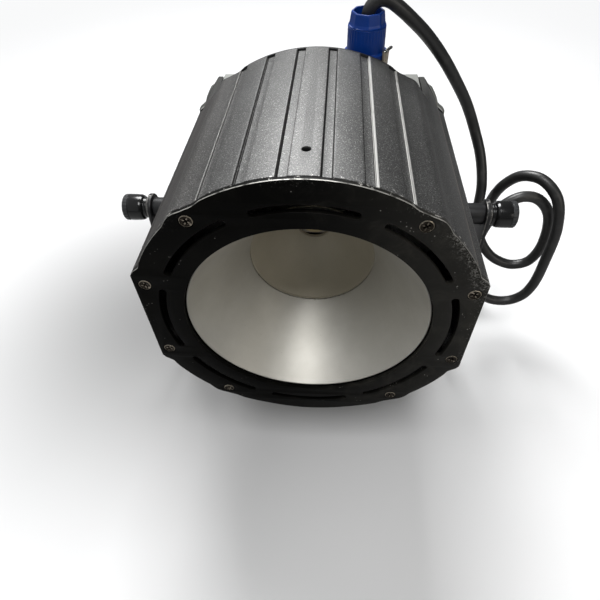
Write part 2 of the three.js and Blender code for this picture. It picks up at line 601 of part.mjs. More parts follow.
// ---------------------------------------------------------------- yoke
const ARM_T = 3;
const ARM_X0 = 127.5;          // yoke arm, inner face
const ARM_X1 = ARM_X0 + ARM_T; // outer face
const ARM_HALF_W = 15;
const ARM_END_R = 11;          // rounded end of each arm, which the arm tapers to
const BEND_R = 12;             // outside of the bend

function yoke() {
  const bendX = ARM_X1 - BEND_R;
  const bend = (side, radius, start, end) =>
    arc(radius, start, end, 3, side * bendX, BEND_R - YOKE_DROP);
  const bar = prismY([
    point(-ARM_X0, 0), point(-ARM_X1, 0),
    ...bend(-1, BEND_R, 180, 270), ...bend(1, BEND_R, 270, 360),
    point(ARM_X1, 0), point(ARM_X0, 0),
    ...bend(1, BEND_R - ARM_T, 360, 270), ...bend(-1, BEND_R - ARM_T, 270, 180),
  ], span(ARM_HALF_W));
  const tapers = [1, -1].map((side) => prismX([
    point(side * ARM_END_R, 0), point(side * ARM_END_R, 20), point(side * 20, 20),
    point(side * 20, -50), point(side * ARM_HALF_W, -50),
  ], span(140)));
  const ends = [ARM_X0, -ARM_X1].map((x) => prismX(circle(0, 0, ARM_END_R, 20), [x, x + ARM_T]));
  const crossbarHoles = [25, -25].map((x) => rodZ(5.3, [-190, -150], 14, x));
  return cut(union(cut(bar, ...tapers), ...ends), rodX(4.4, span(140), 12), ...crossbarHoles);
}
add('yoke', FINISH.yoke, yoke());

// ---------------------------------------------------------------- tilt clamps
const CLAMP_BORE_R = 4.4;
const ring = (outer, [from, to]) =>
  closed([[CLAMP_BORE_R, from], [outer, from], [outer, to], [CLAMP_BORE_R, to]]);
const KNOB = [
  [0, 151.4], [7.9, 151.4], [10.3, 149.2], [10.3, 137], [8, 135.2], [8, 132.7],
  [4.3, 132.7], [4.3, 145.6], [0, 145.6],
];
// name, finish, profile outward from the tilt centre, segments
const CLAMP_PARTS = [
  ['pivot_spacer', FINISH.spacer, ring(8, [FLAT_X + GAP, ARM_X0 - GAP]), 12],
  ['clamp_washer', FINISH.washerSteel, ring(8.6, [ARM_X1 + GAP, ARM_X1 + 1.8]), 12],
  ['clamp_stud', FINISH.steel, rod(3.9, [95, 145.2]), 12],
  ['clamp_knob', FINISH.knob, KNOB, 16],
];
for (const [side, sign] of [['left', -1], ['right', 1]]) {
  for (const [name, finish, profile, segments] of CLAMP_PARTS) {
    const mirrored = profile.map(([radius, x]) => [radius, sign * x]);
    add(`${name}_${side}`, finish, latheX(mirrored, segments));
  }
}

export default root;
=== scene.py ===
# Looks for the studio flood head: a lamp head in a bent-strip yoke, with its mains lead and plug.
# Lengths are millimetres about the centre of the tilt axis, +X right, +Y rearward, +Z up; the
# reflector opens towards -Y. Every piece is lifted by LIFT, because the frame's origin is the
# outer face of the yoke crossbar. Shader positions and the stage are in metres.
from functools import partialmethod, reduce
from math import atan2, cos, degrees, hypot, pi, radians, sin, sqrt, tan
import bpy
import bmesh
import numpy as np
from mathutils import Matrix, Vector
from mathutils.geometry import tessellate_polygon


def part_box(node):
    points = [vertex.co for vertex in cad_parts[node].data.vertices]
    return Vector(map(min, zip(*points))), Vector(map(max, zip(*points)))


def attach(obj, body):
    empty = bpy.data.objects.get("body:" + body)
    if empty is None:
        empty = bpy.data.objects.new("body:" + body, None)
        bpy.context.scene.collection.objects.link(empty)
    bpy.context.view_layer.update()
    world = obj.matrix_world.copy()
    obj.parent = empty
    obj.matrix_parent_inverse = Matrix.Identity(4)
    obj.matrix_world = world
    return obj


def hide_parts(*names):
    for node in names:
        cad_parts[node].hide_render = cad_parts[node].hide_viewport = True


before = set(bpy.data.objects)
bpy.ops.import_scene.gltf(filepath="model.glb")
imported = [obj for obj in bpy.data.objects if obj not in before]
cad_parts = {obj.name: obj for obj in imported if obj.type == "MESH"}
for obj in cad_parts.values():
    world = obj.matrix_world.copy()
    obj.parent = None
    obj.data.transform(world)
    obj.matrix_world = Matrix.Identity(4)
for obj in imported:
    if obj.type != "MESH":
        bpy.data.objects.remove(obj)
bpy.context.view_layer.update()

MM = 0.001
LIFT = 0.173             # metres
SIDE_X = 101.0           # flat sides of the housing
CHANNEL_ANGLES = [61.0 + 11.6 * i for i in range(6)]   # grooves over the top, from the right
CHANNEL_HALF = 3.0
CHANNEL_DEPTH = 1.6
SHELF_Z = 67.9           # top edge of the rear chassis, where the top bay starts
SCREW_CIRCLE_R = 99.4
# Screw angle about Y: turn of its cross.
FRONT_SCREWS = {18.3: 12, 52.9: 58, 127.1: -20, 161.7: 33, 198.3: 71, 232.9: 5, 307.1: -38,
                341.7: 25}
REAR_SCREWS = {18.3: 20, 161.7: 64, 198.3: -15, 232.9: 40, 307.1: 8, 341.7: 52}
DATA_X, DATA_Z = 32, -66           # data sockets, mirrored in X
FUSE_Z = -79
MAINS_X, MAINS_Y = 33, 61          # mains sockets on the shelf, mirrored in X
PLUG = (MAINS_X, MAINS_Y, 0)
END_PLUG = (158, 78, 0)


def hump(t):
    """1 at t = 0, easing to 0 at -1 and 1."""
    return 0.0 if abs(t) >= 1 else (1 - t * t) ** 2


def smooth(start, end, x):
    t = min(1.0, max(0.0, (x - start) / (end - start)))
    return t * t * (3 - 2 * t)


def housing_radius(angle):
    """Radius of the housing outline; negative angles are the underside."""
    size = abs(angle)
    radius = 105.3 + 1.7 * hump((size - 50) / 5) - 0.8 * hump((size - 58) / 3.5)
    return radius - (2.2 * smooth(52, 76, size) if angle < 0 else 0.0)


def channel_radius(angle):
    return housing_radius(angle if angle <= 90 else 180 - angle)


# ------------------------------------------------------------------ shader helpers
MATERIALS = {}


class Signal:
    """A shader output; arithmetic on it adds Math nodes."""

    def __init__(self, graph, socket):
        self.graph = graph
        self.socket = socket

    def math(self, operation, *others):
        node = self.graph.node("ShaderNodeMath", operation=operation)
        for i, value in enumerate((self, *others)):
            self.graph.put(node.inputs[i], value)
        return Signal(self.graph, node.outputs[0])

    __add__ = partialmethod(math, "ADD")
    __sub__ = partialmethod(math, "SUBTRACT")
    __mul__ = partialmethod(math, "MULTIPLY")
    __pow__ = partialmethod(math, "POWER")
    __gt__ = partialmethod(math, "GREATER_THAN")
    __abs__ = partialmethod(math, "ABSOLUTE")
    max = partialmethod(math, "MAXIMUM")
    min = partialmethod(math, "MINIMUM")
    sqrt = partialmethod(math, "SQRT")
    atan2 = partialmethod(math, "ARCTAN2")

    def fade(self, start, end, low=0.0, high=1.0):
        """Eases from low, where the signal is start, to high, where it is end."""
        node = self.graph.node("ShaderNodeMapRange", interpolation_type="SMOOTHSTEP")
        for name, value in (("From Min", start), ("From Max", end), ("To Min", low),
                            ("To Max", high), ("Value", self)):
            self.graph.put(node.inputs[name], value)
        return Signal(self.graph, node.outputs["Result"])

    def spread(self):
        """Stretches the usual range of a noise to 0..1."""
        return self.fade(start=0.3, end=0.7)


class Graph:
    """Builds nodes in a shader tree."""

    def __init__(self, tree):
        self.tree = tree

    def node(self, kind, **properties):
        node = self.tree.nodes.new(kind)
        for name, value in properties.items():
            setattr(node, name, value)
        return node

    def find(self, kind):
        return next(n for n in self.tree.nodes if n.type == kind)

    def source(self, kind, output):
        return Signal(self, self.node(kind).outputs[output])

    def put(self, socket, value):
        """Links a signal to the socket, or sets its value; colours are RGB tuples."""
        if isinstance(value, Signal):
            self.tree.links.new(value.socket, socket)
        elif isinstance(value, tuple):
            socket.default_value = (*value, 1.0)
        else:
            socket.default_value = value

    def mix(self, mask, off, on, kind="RGBA", first=6, output=2):
        """The colour off where mask is 0, on where it is 1."""
        node = self.node("ShaderNodeMix", data_type=kind)
        self.put(node.inputs["Factor"], mask)
        self.put(node.inputs[first], off)
        self.put(node.inputs[first + 1], on)
        return Signal(self, node.outputs[output])

    def between(self, mask, off, on):
        """The number off where mask is 0, on where it is 1."""
        return self.mix(mask, off, on, "FLOAT", 2, 0)

    def split(self, vector):
        node = self.node("ShaderNodeSeparateXYZ")
        self.put(node.inputs[0], vector)
        return [Signal(self, output) for output in node.outputs]


class Material(Graph):
    """A new material, its Principled shader and textures placed in object space."""

    def __init__(self, name):
        material = bpy.data.materials.new(name)
        material.use_nodes = True
        MATERIALS[name] = material
        super().__init__(material.node_tree)
        self.shader = self.find("BSDF_PRINCIPLED")
        self.position = self.source("ShaderNodeTexCoord", "Object")

    def mapped(self, stretch, turn):
        if stretch == (1, 1, 1) and turn == (0, 0, 0):
            return self.position
        node = self.node("ShaderNodeMapping")
        node.inputs["Scale"].default_value = stretch
        node.inputs["Rotation"].default_value = turn
        self.put(node.inputs["Vector"], self.position)
        return Signal(self, node.outputs["Vector"])

    def noise(self, scale, detail=3.0, rough=0.55, stretch=(1, 1, 1), distort=0.0):
        node = self.node("ShaderNodeTexNoise")
        for name, value in (("Scale", scale), ("Detail", detail), ("Roughness", rough),
                            ("Distortion", distort), ("Vector", self.mapped(stretch, (0, 0, 0)))):
            self.put(node.inputs[name], value)
        return Signal(self, node.outputs["Fac"])

    def cells(self, scale, output="Distance", stretch=(1, 1, 1), turn=(0, 0, 0)):
        node = self.node("ShaderNodeTexVoronoi", feature="F1")
        self.put(node.inputs["Scale"], scale)
        self.put(node.inputs["Vector"], self.mapped(stretch, turn))
        return Signal(self, node.outputs[output])

    def dashes(self, scale, stretch, turn, above):
        """Short straight strokes, in the cells whose random value is above the limit."""
        stroke = self.cells(scale, "Distance", stretch, turn)
        chance = self.split(self.cells(scale, "Color", stretch, turn))[0]
        return stroke.fade(start=0.032, end=0.012) * (chance > above)

    def bump(self, height, strength, distance):
        node = self.node("ShaderNodeBump")
        self.put(node.inputs["Strength"], strength)
        self.put(node.inputs["Distance"], distance)
        self.put(node.inputs["Height"], height)
        self.put(self.shader.inputs["Normal"], Signal(self, node.outputs["Normal"]))

    def surface(self, color, roughness, metallic, **more):
        for name, value in {"Base Color": color, "Roughness": roughness,
                            "Metallic": metallic, **more}.items():
            self.put(self.shader.inputs[name.replace("_", " ")], value)


def tone(color, factor):
    return tuple(c * factor for c in color)


# ------------------------------------------------------------------ materials
def plain(name, color, rough, metal, vary=0.12, grain=900.0, bump=0.12, **more):
    """A moulded, painted or milled surface: slow colour drift, fine grain."""
    mat = Material(name)
    slow = mat.noise(scale=28.0, detail=4.0)
    fine = mat.noise(scale=grain, detail=2.0)
    mat.surface(color=mat.mix(slow.spread(), tone(color, 1 - vary), tone(color, 1 + vary)),
                roughness=mat.between(fine.spread(), rough * 0.88, rough * 1.12),
                metallic=metal, **more)
    mat.bump(fine, strength=bump, distance=0.0001)


def housing_metal(name, bare=False):
    """Speckled gunmetal, with painted shadow along the channel floors, painted highlights on the outer
    channel lips, a painted warmer and darker left side, and rubbed edges; bare is rubbed all over.
    """
    mat = Material("housing_" + name)
    x, y, z = mat.split(mat.position)
    streaks = dict(scale=150.0, detail=5.0, rough=0.7, stretch=(1.0, 0.25, 1.0))
    sparkle = mat.noise(scale=1500.0, detail=2.0, rough=0.75)
    slow = mat.noise(scale=16.0, detail=4.0)
    # drifting grey, light and dark speckle, and the left side painted warmer and darker as the warm
    # reflection and shade it shows
    base = mat.mix(slow.spread(), (0.082, 0.082, 0.081), (0.108, 0.108, 0.107))
    base = mat.mix(x.fade(start=-0.035, end=-0.080, high=0.75), base, (0.096, 0.091, 0.088))
    base = mat.mix(sparkle.fade(start=0.54, end=0.72) * 0.85, base, (0.42, 0.42, 0.41))
    base = mat.mix(sparkle.fade(start=0.44, end=0.28) * 0.85, base, (0.016, 0.016, 0.016))
    # painted reflection and shade: the far left is darker and warmer, and the specular tint follows it
    warm = x.fade(start=-0.062, end=-0.088, high=0.5)
    base = mat.mix(warm, base, (0.050, 0.047, 0.0455))

    angle = z.atan2(x)
    radius = (x * x + z * z).sqrt()
    upper = z > 0.03

    def band(at, centre, half, soft=0.14):
        """A stripe along Y, centred so many mm round the outline from the angle `at`."""
        offset = abs((angle - radians(at)) * 105.4 - centre)
        return offset.fade(start=half + soft, end=half - soft)

    # painted shadow along the foot of each channel wall, and painted highlights on the lips of the
    # outer channels
    channel_shadows, lips = [], []
    for at in CHANNEL_ANGLES:
        top = channel_radius(at)
        on_floor = radius.fade(start=(top - 0.85) * MM, end=(top - 1.15) * MM)
        left = band(at, centre=2.45, half=0.5 if 80 < at < 100 else 0.38)
        left = left * (0.95 if at < 110 else 0.0)
        right = band(at, centre=-2.72, half=0.24) * 0.85
        channel_shadows.append(left.max(right) * on_floor)
        if at < 78 or at > 112:
            centre, half = (3.45, 0.42) if at > 112 else (-3.55, 0.58)
            near_top = radius.fade(start=(top - 1.0) * MM, end=(top - 0.5) * MM)
            lips.append(band(at, centre, half) * near_top)
    dark = reduce(Signal.max, channel_shadows) * upper
    bright = reduce(Signal.max, lips) * upper
    bright = bright * mat.noise(**streaks).fade(start=0.28, end=0.44, low=0.45)
    # the channel floors are painted near-black as the shadow cast by their walls
    base = mat.mix(dark, base, (0.004, 0.004, 0.004))

    # faint warm line along the shoulder, partly rubbed metal and partly a painted highlight of the
    # warm light the ridge catches, and the open joint and bright flange behind it
    seam = band(29.6, centre=0.0, half=0.36, soft=0.26) * (z > 0.045)
    seam = seam * mat.noise(scale=60.0, detail=4.0, rough=0.7).fade(
        start=0.30, end=0.62, low=0.30, high=0.85)
    base = mat.mix(seam, base, (0.62, 0.49, 0.37))
    side = abs(x).fade(start=0.0795, end=0.0815) * (
        z.fade(start=0.0395, end=0.0415) * z.fade(start=0.0660, end=0.0645))
    joint = side * (y.fade(start=0.0738, end=0.0746) * y.fade(start=0.0788, end=0.0782))
    flange = side * y.fade(start=0.0786, end=0.0792)
    base = mat.mix(flange, mat.mix(joint, base, (0.003, 0.003, 0.003)), (0.52, 0.53, 0.51))
    dark = dark.max(joint)

    # chipped front edge, a few short handling marks, and the painted lip highlights, all shown as bare
    # metal
    front = y.fade(start=-0.1062, end=-0.1106)
    chips = mat.noise(scale=300.0, detail=6.0, rough=0.72).fade(start=0.585, end=0.64)
    marks = mat.dashes(scale=52.0, stretch=(1.0, 0.12, 1.0), turn=(0.0, 0.0, 0.6), above=0.75)
    bare_mask = (front * chips).max(marks * 0.4).max(bright)
    if bare:
        bare_mask = bare_mask.max(mat.noise(**streaks).fade(start=0.26, end=0.46, low=0.55))
    base = mat.mix(bare_mask, base, (0.60, 0.595, 0.575))
    rough = mat.between(sparkle.fade(start=0.35, end=0.7), 0.46, 0.58)
    mat.surface(color=base, roughness=mat.between(dark, rough, 0.9),
                metallic=mat.between(dark, 0.80, 0.0),
                Specular_IOR_Level=mat.between(dark, 0.5, 0.05),
                Specular_Tint=mat.mix(warm, (1.0, 1.0, 1.0), (0.42, 0.395, 0.38)))
    mat.bump(sparkle, strength=0.42, distance=0.00014)


def edge_mask(mat, x, z, depth):
    """1 at the housing outline, 0 `depth` millimetres inside it."""
    radius = (x * x + z * z).sqrt()
    outside = (abs(x) - 0.1010).max(radius - 0.1053)
    return outside.fade(start=-depth * MM, end=-0.0003)


def plate_face_wear(mat, x, z, right):
    """Chips along the rim and at the upper right ear, sparse chips, and scratches."""
    near = edge_mask(mat, x, z, depth=12.0)
    rim_x, _, rim_z = mat.split(mat.position)
    rim = edge_mask(mat, rim_x, rim_z, depth=3.2)
    upper = z.fade(start=-0.06, end=0.03, low=0.30)
    corner = x.fade(start=0.058, end=0.086) * (
        z.fade(start=0.020, end=0.036) * z.fade(start=0.090, end=0.074))
    dots = mat.cells(scale=420.0).fade(start=0.19, end=0.10)
    gate = mat.noise(scale=85.0, detail=3.0, rough=0.6).fade(start=0.59, end=0.65)
    sparse = dots * gate * mat.between(right, 0.30, 0.9)
    specks = mat.noise(scale=760.0, detail=6.0, rough=0.78).fade(start=0.565, end=0.62)
    falloff = (rim ** 0.8).max(near ** 3.0 * 0.5)
    patches = mat.noise(scale=75.0, detail=4.0, rough=0.6).fade(start=0.46, end=0.60)
    rim_chips = specks * falloff * (patches * (right * upper))
    ear = mat.noise(scale=900.0, detail=6.0, rough=0.8).fade(start=0.52, end=0.585)
    ear = ear * (rim.max(near ** 2.0 * 0.75) * corner)
    ear = ear * mat.noise(scale=120.0, detail=4.0, rough=0.65).fade(start=0.40, end=0.56)
    scratches = mat.dashes(scale=46.0, stretch=(1.0, 1.0, 0.10), turn=(0.0, 0.25, 0.0), above=0.72)
    scratches = scratches.max(
        mat.dashes(scale=38.0, stretch=(0.10, 1.0, 1.0), turn=(0.0, 0.7, 0.0), above=0.80))
    scratches = scratches.max(
        mat.dashes(scale=70.0, stretch=(1.0, 1.0, 0.14), turn=(0.0, -0.9, 0.0), above=0.70))
    return (rim_chips.max(ear) + sparse + scratches * (right * 0.42)).min(1.0)


def plate_edge_wear(mat, x, z, right):
    """A rubbed line where the outline meets the front face, and chips on the thickness, denser towards
    the top; both are partly real wear and partly a painted highlight of the light the rim catches.
    """
    y = mat.split(mat.position)[1]
    broken = mat.noise(scale=170.0, detail=5.0, rough=0.65).fade(start=0.36, end=0.52, low=0.15)
    line = y.fade(start=-0.11310, end=-0.11372) * broken
    chips = mat.noise(scale=240.0, detail=6.0, rough=0.7).fade(start=0.57, end=0.63)
    # the chips are denser on top, partly as the painted highlight of the lit upper rim
    return (chips * z.fade(start=-0.02, end=0.05, low=0.2, high=0.9)).max(line)


def plate_paint(name, find_wear, bare):
    """Black paint, painted lighter towards the right and the top as the light falling there, more
    smeared to the right, worn to the colour bare.
    """
    mat = Material(name)
    x, _, z = mat.split(mat.position)
    right = x.fade(start=-0.03, end=0.085, low=0.10)
    slow = mat.noise(scale=22.0, detail=5.0, rough=0.6)
    fine = mat.noise(scale=1400.0, detail=2.0)
    smear = mat.noise(scale=48.0, detail=6.0, rough=0.7, distort=1.2).fade(start=0.44, end=0.72)
    # painted light: the right and upper part of the plate is lighter, standing for the light that
    # falls there
    lit_side = x.fade(start=0.000, end=0.085, low=0.03, high=0.85)
    lit_side = lit_side * z.fade(start=-0.11, end=0.03, low=0.35)
    base = mat.mix(slow.spread(), (0.0011, 0.0011, 0.0009), (0.0024, 0.0023, 0.0020))
    base = mat.mix(lit_side, base, (0.0205, 0.0196, 0.0168))
    base = mat.mix(smear * (right * 0.55), base, (0.046, 0.043, 0.037))
    bare_mask = find_wear(mat, x, z, right)
    gloss = mat.between(bare_mask, mat.between(right, 0.045, 0.16), 0.5)
    mat.surface(color=mat.mix(bare_mask, base, bare), roughness=mat.between(smear, 0.40, 0.55),
                metallic=mat.between(bare_mask, 0.0, 0.7), Specular_IOR_Level=gloss)
    mat.bump(fine * 0.35 - bare_mask, strength=0.20, distance=0.00012)


def reflector(name, dark, light, rough, metal):
    """Cloudy satin metal with fine rings and a few small spots."""
    mat = Material(name)
    grain = mat.noise(scale=1250.0, detail=2.0, rough=0.6)
    cloud = mat.noise(scale=18.0, detail=4.0, rough=0.6)
    rings = mat.noise(scale=900.0, detail=3.0, rough=0.5, stretch=(0.02, 1.0, 0.02))
    spots = mat.cells(scale=85.0).fade(start=0.030, end=0.018)
    base = mat.mix(spots * 0.4, mat.mix(cloud.spread(), dark, light), (0.14, 0.12, 0.10))
    mat.surface(color=base, roughness=mat.between(grain.spread(), rough * 0.92, rough * 1.10),
                metallic=metal)
    mat.bump(grain * 0.5 + rings * 0.10, strength=0.06, distance=0.0001)


def rubber():
    """Dusty black cable jacket."""
    mat = Material("cable_rubber")
    fine = mat.noise(scale=1100.0, detail=3.0)
    dust = mat.noise(scale=70.0, detail=6.0, rough=0.7, distort=0.8).fade(start=0.50, end=0.74)
    mat.surface(color=mat.mix(dust * 0.5, (0.0120, 0.0120, 0.0120), (0.065, 0.063, 0.058)),
                roughness=mat.between(dust, 0.40, 0.56), metallic=0.0, Specular_IOR_Level=0.7)
    mat.bump(fine * 0.5 + mat.noise(scale=160.0, detail=3.0), strength=0.16, distance=0.00015)


def coat(name, color, rough, amount, sharpness, bare=(0.55, 0.53, 0.50), metal=0.0):
    """A coating rubbed to bare metal where the surface turns more sharply than sharpness."""
    mat = Material(name)
    turn = mat.source("ShaderNodeNewGeometry", "Pointiness")
    rims = turn.fade(start=sharpness, end=sharpness + 0.055)
    broken = mat.noise(scale=180.0, detail=5.0, rough=0.65).fade(start=0.38, end=0.58)
    bare_mask = rims * broken * amount
    slow = mat.noise(scale=30.0, detail=4.0)
    fine = mat.noise(scale=1300.0, detail=2.0)
    base = mat.mix(slow.spread(), tone(color, 0.85), tone(color, 1.2))
    mat.surface(color=mat.mix(bare_mask, base, bare),
                roughness=mat.between(fine.spread(), rough * 0.9, rough * 1.1),
                metallic=mat.between(bare_mask, metal, 0.95))
    mat.bump(fine, strength=0.16, distance=0.00012)


housing_metal("gunmetal")
# the bare variant serves only as the painted highlight on the lit walls of the outer channels
housing_metal("highlight_edge", bare=True)
plate_paint("plate_black", plate_face_wear, bare=(0.36, 0.35, 0.325))
plate_paint("plate_edge", plate_edge_wear, bare=(0.46, 0.45, 0.42))
reflector("reflector_outer", dark=(0.50, 0.485, 0.44), light=(0.585, 0.57, 0.525), rough=0.50,
          metal=0.72)
reflector("reflector_inner", dark=(0.47, 0.435, 0.35), light=(0.54, 0.50, 0.41), rough=0.60,
          metal=0.5)
rubber()
coat("yoke_coat", (0.010, 0.010, 0.011), rough=0.42, amount=0.8, sharpness=0.545)
coat("dark_coat", (0.012, 0.012, 0.013), rough=0.34, amount=0.35, sharpness=0.55)
coat("screw_metal", (0.034, 0.028, 0.022), rough=0.34, amount=1.0, sharpness=0.505,
     bare=(0.50, 0.44, 0.36), metal=1.0)
# name, colour, roughness, metallic, other settings
for name, color, rough, metal, more in (
        ("screw_rim", (0.50, 0.44, 0.35), 0.36, 1.0, dict(vary=0.35, grain=500.0, bump=0.3)),
        ("steel", (0.50, 0.49, 0.47), 0.30, 1.0, dict(vary=0.15)),
        ("dark_steel", (0.17, 0.165, 0.16), 0.30, 1.0, dict(vary=0.2)),
        ("latch_metal", (0.56, 0.48, 0.38), 0.30, 0.45, dict(vary=0.2)),
        ("chassis_grey", (0.30, 0.305, 0.288), 0.42, 0.35, dict(vary=0.10)),
        ("cut_edge", (0.034, 0.034, 0.032), 0.62, 0.0, dict(vary=0.2, Specular_IOR_Level=0.2)),
        # near-black paint for the shade inside the top bore and under the top
        ("shade_black", (0.010, 0.010, 0.010), 0.55, 0.0, {}),
        ("mill_aluminium", (0.48, 0.48, 0.47), 0.38, 1.0, {}),
        ("black_anodised", (0.022, 0.022, 0.024), 0.42, 0.6, {}),
        ("black_plastic", (0.011, 0.011, 0.012), 0.42, 0.0, {}),
        ("knob_gloss", (0.0065, 0.0065, 0.0068), 0.17, 0.0, dict(bump=0.05, Coat_Weight=0.25)),
        ("knob_cap", (0.035, 0.036, 0.038), 0.30, 0.0, dict(bump=0.1)),
        ("plug_blue", (0.0010, 0.036, 0.235), 0.36, 0.0,
         dict(vary=0.16, bump=0.08, Specular_IOR_Level=0.35)),
        ("inlet_blue", (0.005, 0.020, 0.105), 0.40, 0.0, dict(vary=0.16)),
        ("outlet_grey", (0.22, 0.23, 0.24), 0.42, 0.0, {}),
        ("white_ceramic", (0.42, 0.38, 0.32), 0.45, 0.0, {}),
        ("phosphor", (0.52, 0.42, 0.24), 0.45, 0.0, dict(grain=2600.0, bump=0.25)),
        ("solder_green", (0.010, 0.085, 0.030), 0.35, 0.0, dict(vary=0.25)),
        ("brass", (0.58, 0.44, 0.18), 0.30, 1.0, {}),
        ("display_glass", (0.004, 0.007, 0.010), 0.08, 0.0, dict(bump=0.01, Coat_Weight=0.6))):
    plain(name, color, rough, metal, **more)


# ------------------------------------------------------------------ 2-D helpers
def polar(radius, angle, across=0.0, centre=(0, 0)):
    """The point `radius` out along an angle in degrees and `across` to its left."""
    c, s = cos(radians(angle)), sin(radians(angle))
    return radius * c - across * s + centre[0], radius * s + across * c + centre[1]


def port(angle):
    return polar(SCREW_CIRCLE_R, angle)


def circle(x, y, radius, sides):
    return [(x + radius * cos(2 * pi * i / sides), y + radius * sin(2 * pi * i / sides))
            for i in range(sides)]


def rounded_rect(x_span, y_span, radius, steps=6):
    (x0, x1), (y0, y1) = x_span, y_span
    points = []
    for x, y, start in ((x1 - radius, y1 - radius, 0), (x0 + radius, y1 - radius, 90),
                        (x0 + radius, y0 + radius, 180), (x1 - radius, y0 + radius, 270)):
        points += [polar(radius, start + 90 * i / steps, centre=(x, y)) for i in range(steps + 1)]
    return points


def fillet(points, radius, closed=False, steps=4):
    """Rounds the corners of a 2-D polyline."""
    corners = [Vector(p) for p in points]
    count = len(corners)
    rounded = []
    for i, corner in enumerate(corners):
        if not closed and i in (0, count - 1):
            rounded.append(tuple(corner))
            continue
        back, ahead = corners[i - 1] - corner, corners[(i + 1) % count] - corner
        if back.length < 1e-6 or ahead.length < 1e-6:
            continue
        angle = back.angle(ahead)
        if angle > radians(168):
            rounded.append(tuple(corner))
            continue
        cut = min(radius / max(tan(angle / 2), 0.2), back.length * 0.45, ahead.length * 0.45)
        start = corner + back / back.length * cut
        end = corner + ahead / ahead.length * cut
        for j in range(steps + 1):
            t = j / steps
            rounded.append(tuple((1 - t) ** 2 * start + 2 * t * (1 - t) * corner + t * t * end))
    return rounded


def gap(p, q):
    return hypot(p[0] - q[0], p[1] - q[1])


def without_repeats(loop, least):
    """Drops the points of a closed loop that lie within `least` of the one before."""
    kept = []
    for point in loop:
        if not kept or gap(point, kept[-1]) > least:
            kept.append(point)
    if gap(kept[0], kept[-1]) < least:
        kept.pop()
    return kept


def turns_left(loop):
    return sum(loop[i - 1][0] * loop[i][1] - loop[i][0] * loop[i - 1][1]
               for i in range(len(loop))) > 0


def inset(loop, distance):
    """Moves each vertex of a closed loop to its left."""
    moved = []
    for i, point in enumerate(loop):
        here = Vector(point)
        before = here - Vector(loop[i - 1])
        after = Vector(loop[(i + 1) % len(loop)]) - here
        before = before.normalized() if before.length > 1e-9 else Vector((1, 0))
        after = after.normalized() if after.length > 1e-9 else before
        left = Vector((-before.y, before.x))
        middle = left + Vector((-after.y, after.x))
        if middle.length < 1e-6:
            middle = left.copy()
        middle.normalize()
        stretch = min(1.6, 1.0 / max(0.3, middle.dot(left)))
        moved.append((here.x + middle.x * distance * stretch,
                      here.y + middle.y * distance * stretch))
    return moved


def catmull(points, per=24):
    """Centripetal curve through the points, with `per` steps to a span."""
    knots = [np.array(p, float) for p in points]
    knots = [2 * knots[0] - knots[1]] + knots + [2 * knots[-1] - knots[-2]]
    curve = []
    for p0, p1, p2, p3 in zip(knots, knots[1:], knots[2:], knots[3:]):
        d0, d1, d2 = (max(np.linalg.norm(b - a) ** 0.5, 1e-4)
                      for a, b in ((p0, p1), (p1, p2), (p2, p3)))
        out1 = ((p1 - p0) / d0 - (p2 - p0) / (d0 + d1) + (p2 - p1) / d1) * d1
        out2 = ((p2 - p1) / d1 - (p3 - p1) / (d1 + d2) + (p3 - p2) / d2) * d1
        for j in range(per):
            t = j / per
            curve.append(p1 + out1 * t + (-3 * p1 + 3 * p2 - 2 * out1 - out2) * t * t
                         + (2 * p1 - 2 * p2 + out1 + out2) * t ** 3)
    curve.append(knots[-2])
    return np.array(curve)


def resample(path, step):
    lengths = np.r_[0, np.cumsum(np.linalg.norm(np.diff(path, axis=0), axis=1))]
    count = max(2, int(round(lengths[-1] / step)))
    stations = np.linspace(0, lengths[-1], count + 1)
    return np.column_stack([np.interp(stations, lengths, path[:, k]) for k in range(3)])


# ------------------------------------------------------------------ solids: (vertices, faces) in mm
def merge(solids):
    verts, faces = [], []
    for more_verts, more_faces in solids:
        first = len(verts)
        verts += list(more_verts)
        faces += [tuple(i + first for i in face) for face in more_faces]
    return verts, faces


def wall_faces(rows, count, first=0):
    """Quads between successive closed rows of `count` vertices."""
    faces = []
    for row in range(rows - 1):
        a, b = first + row * count, first + (row + 1) * count
        for i in range(count):
            j = (i + 1) % count
            faces.append((a + i, a + j, b + j, b + i))
    return faces


def loft(sections):
    """Joins closed sections of equal vertex count and caps the ends."""
    count = len(sections[0])
    verts = [point for section in sections for point in section]
    faces = wall_faces(len(sections), count)
    faces.append(tuple(range(count)))
    faces.append(tuple(range(len(verts) - count, len(verts))))
    return verts, faces


def spin(profile, sides, closed):
    """Revolves (radius, height) about the third axis; radii near 0 close on the axis."""
    verts, faces, rows = [], [], []
    for radius, height in profile:
        first = len(verts)
        if radius < 1e-5:
            verts.append((0.0, 0.0, height))
        else:
            verts.extend((x, y, height) for x, y in circle(0, 0, radius, sides))
        rows.append(list(range(first, len(verts))))
    pairs = list(zip(rows, rows[1:])) + ([(rows[-1], rows[0])] if closed else [])
    for a, b in pairs:
        for i in range(sides):
            j = (i + 1) % sides
            if len(a) == 1 and len(b) == 1:
                continue
            if len(a) == 1:
                faces.append((a[0], b[j], b[i]))
            elif len(b) == 1:
                faces.append((a[i], a[j], b[0]))
            else:
                faces.append((a[i], a[j], b[j], b[i]))
    return verts, faces


TO_AXIS = {"Z": lambda x, y, z: (x, y, z), "Y": lambda x, y, z: (x, z, -y),
           "X": lambda x, y, z: (z, x, y), "-X": lambda x, y, z: (-z, -x, y)}


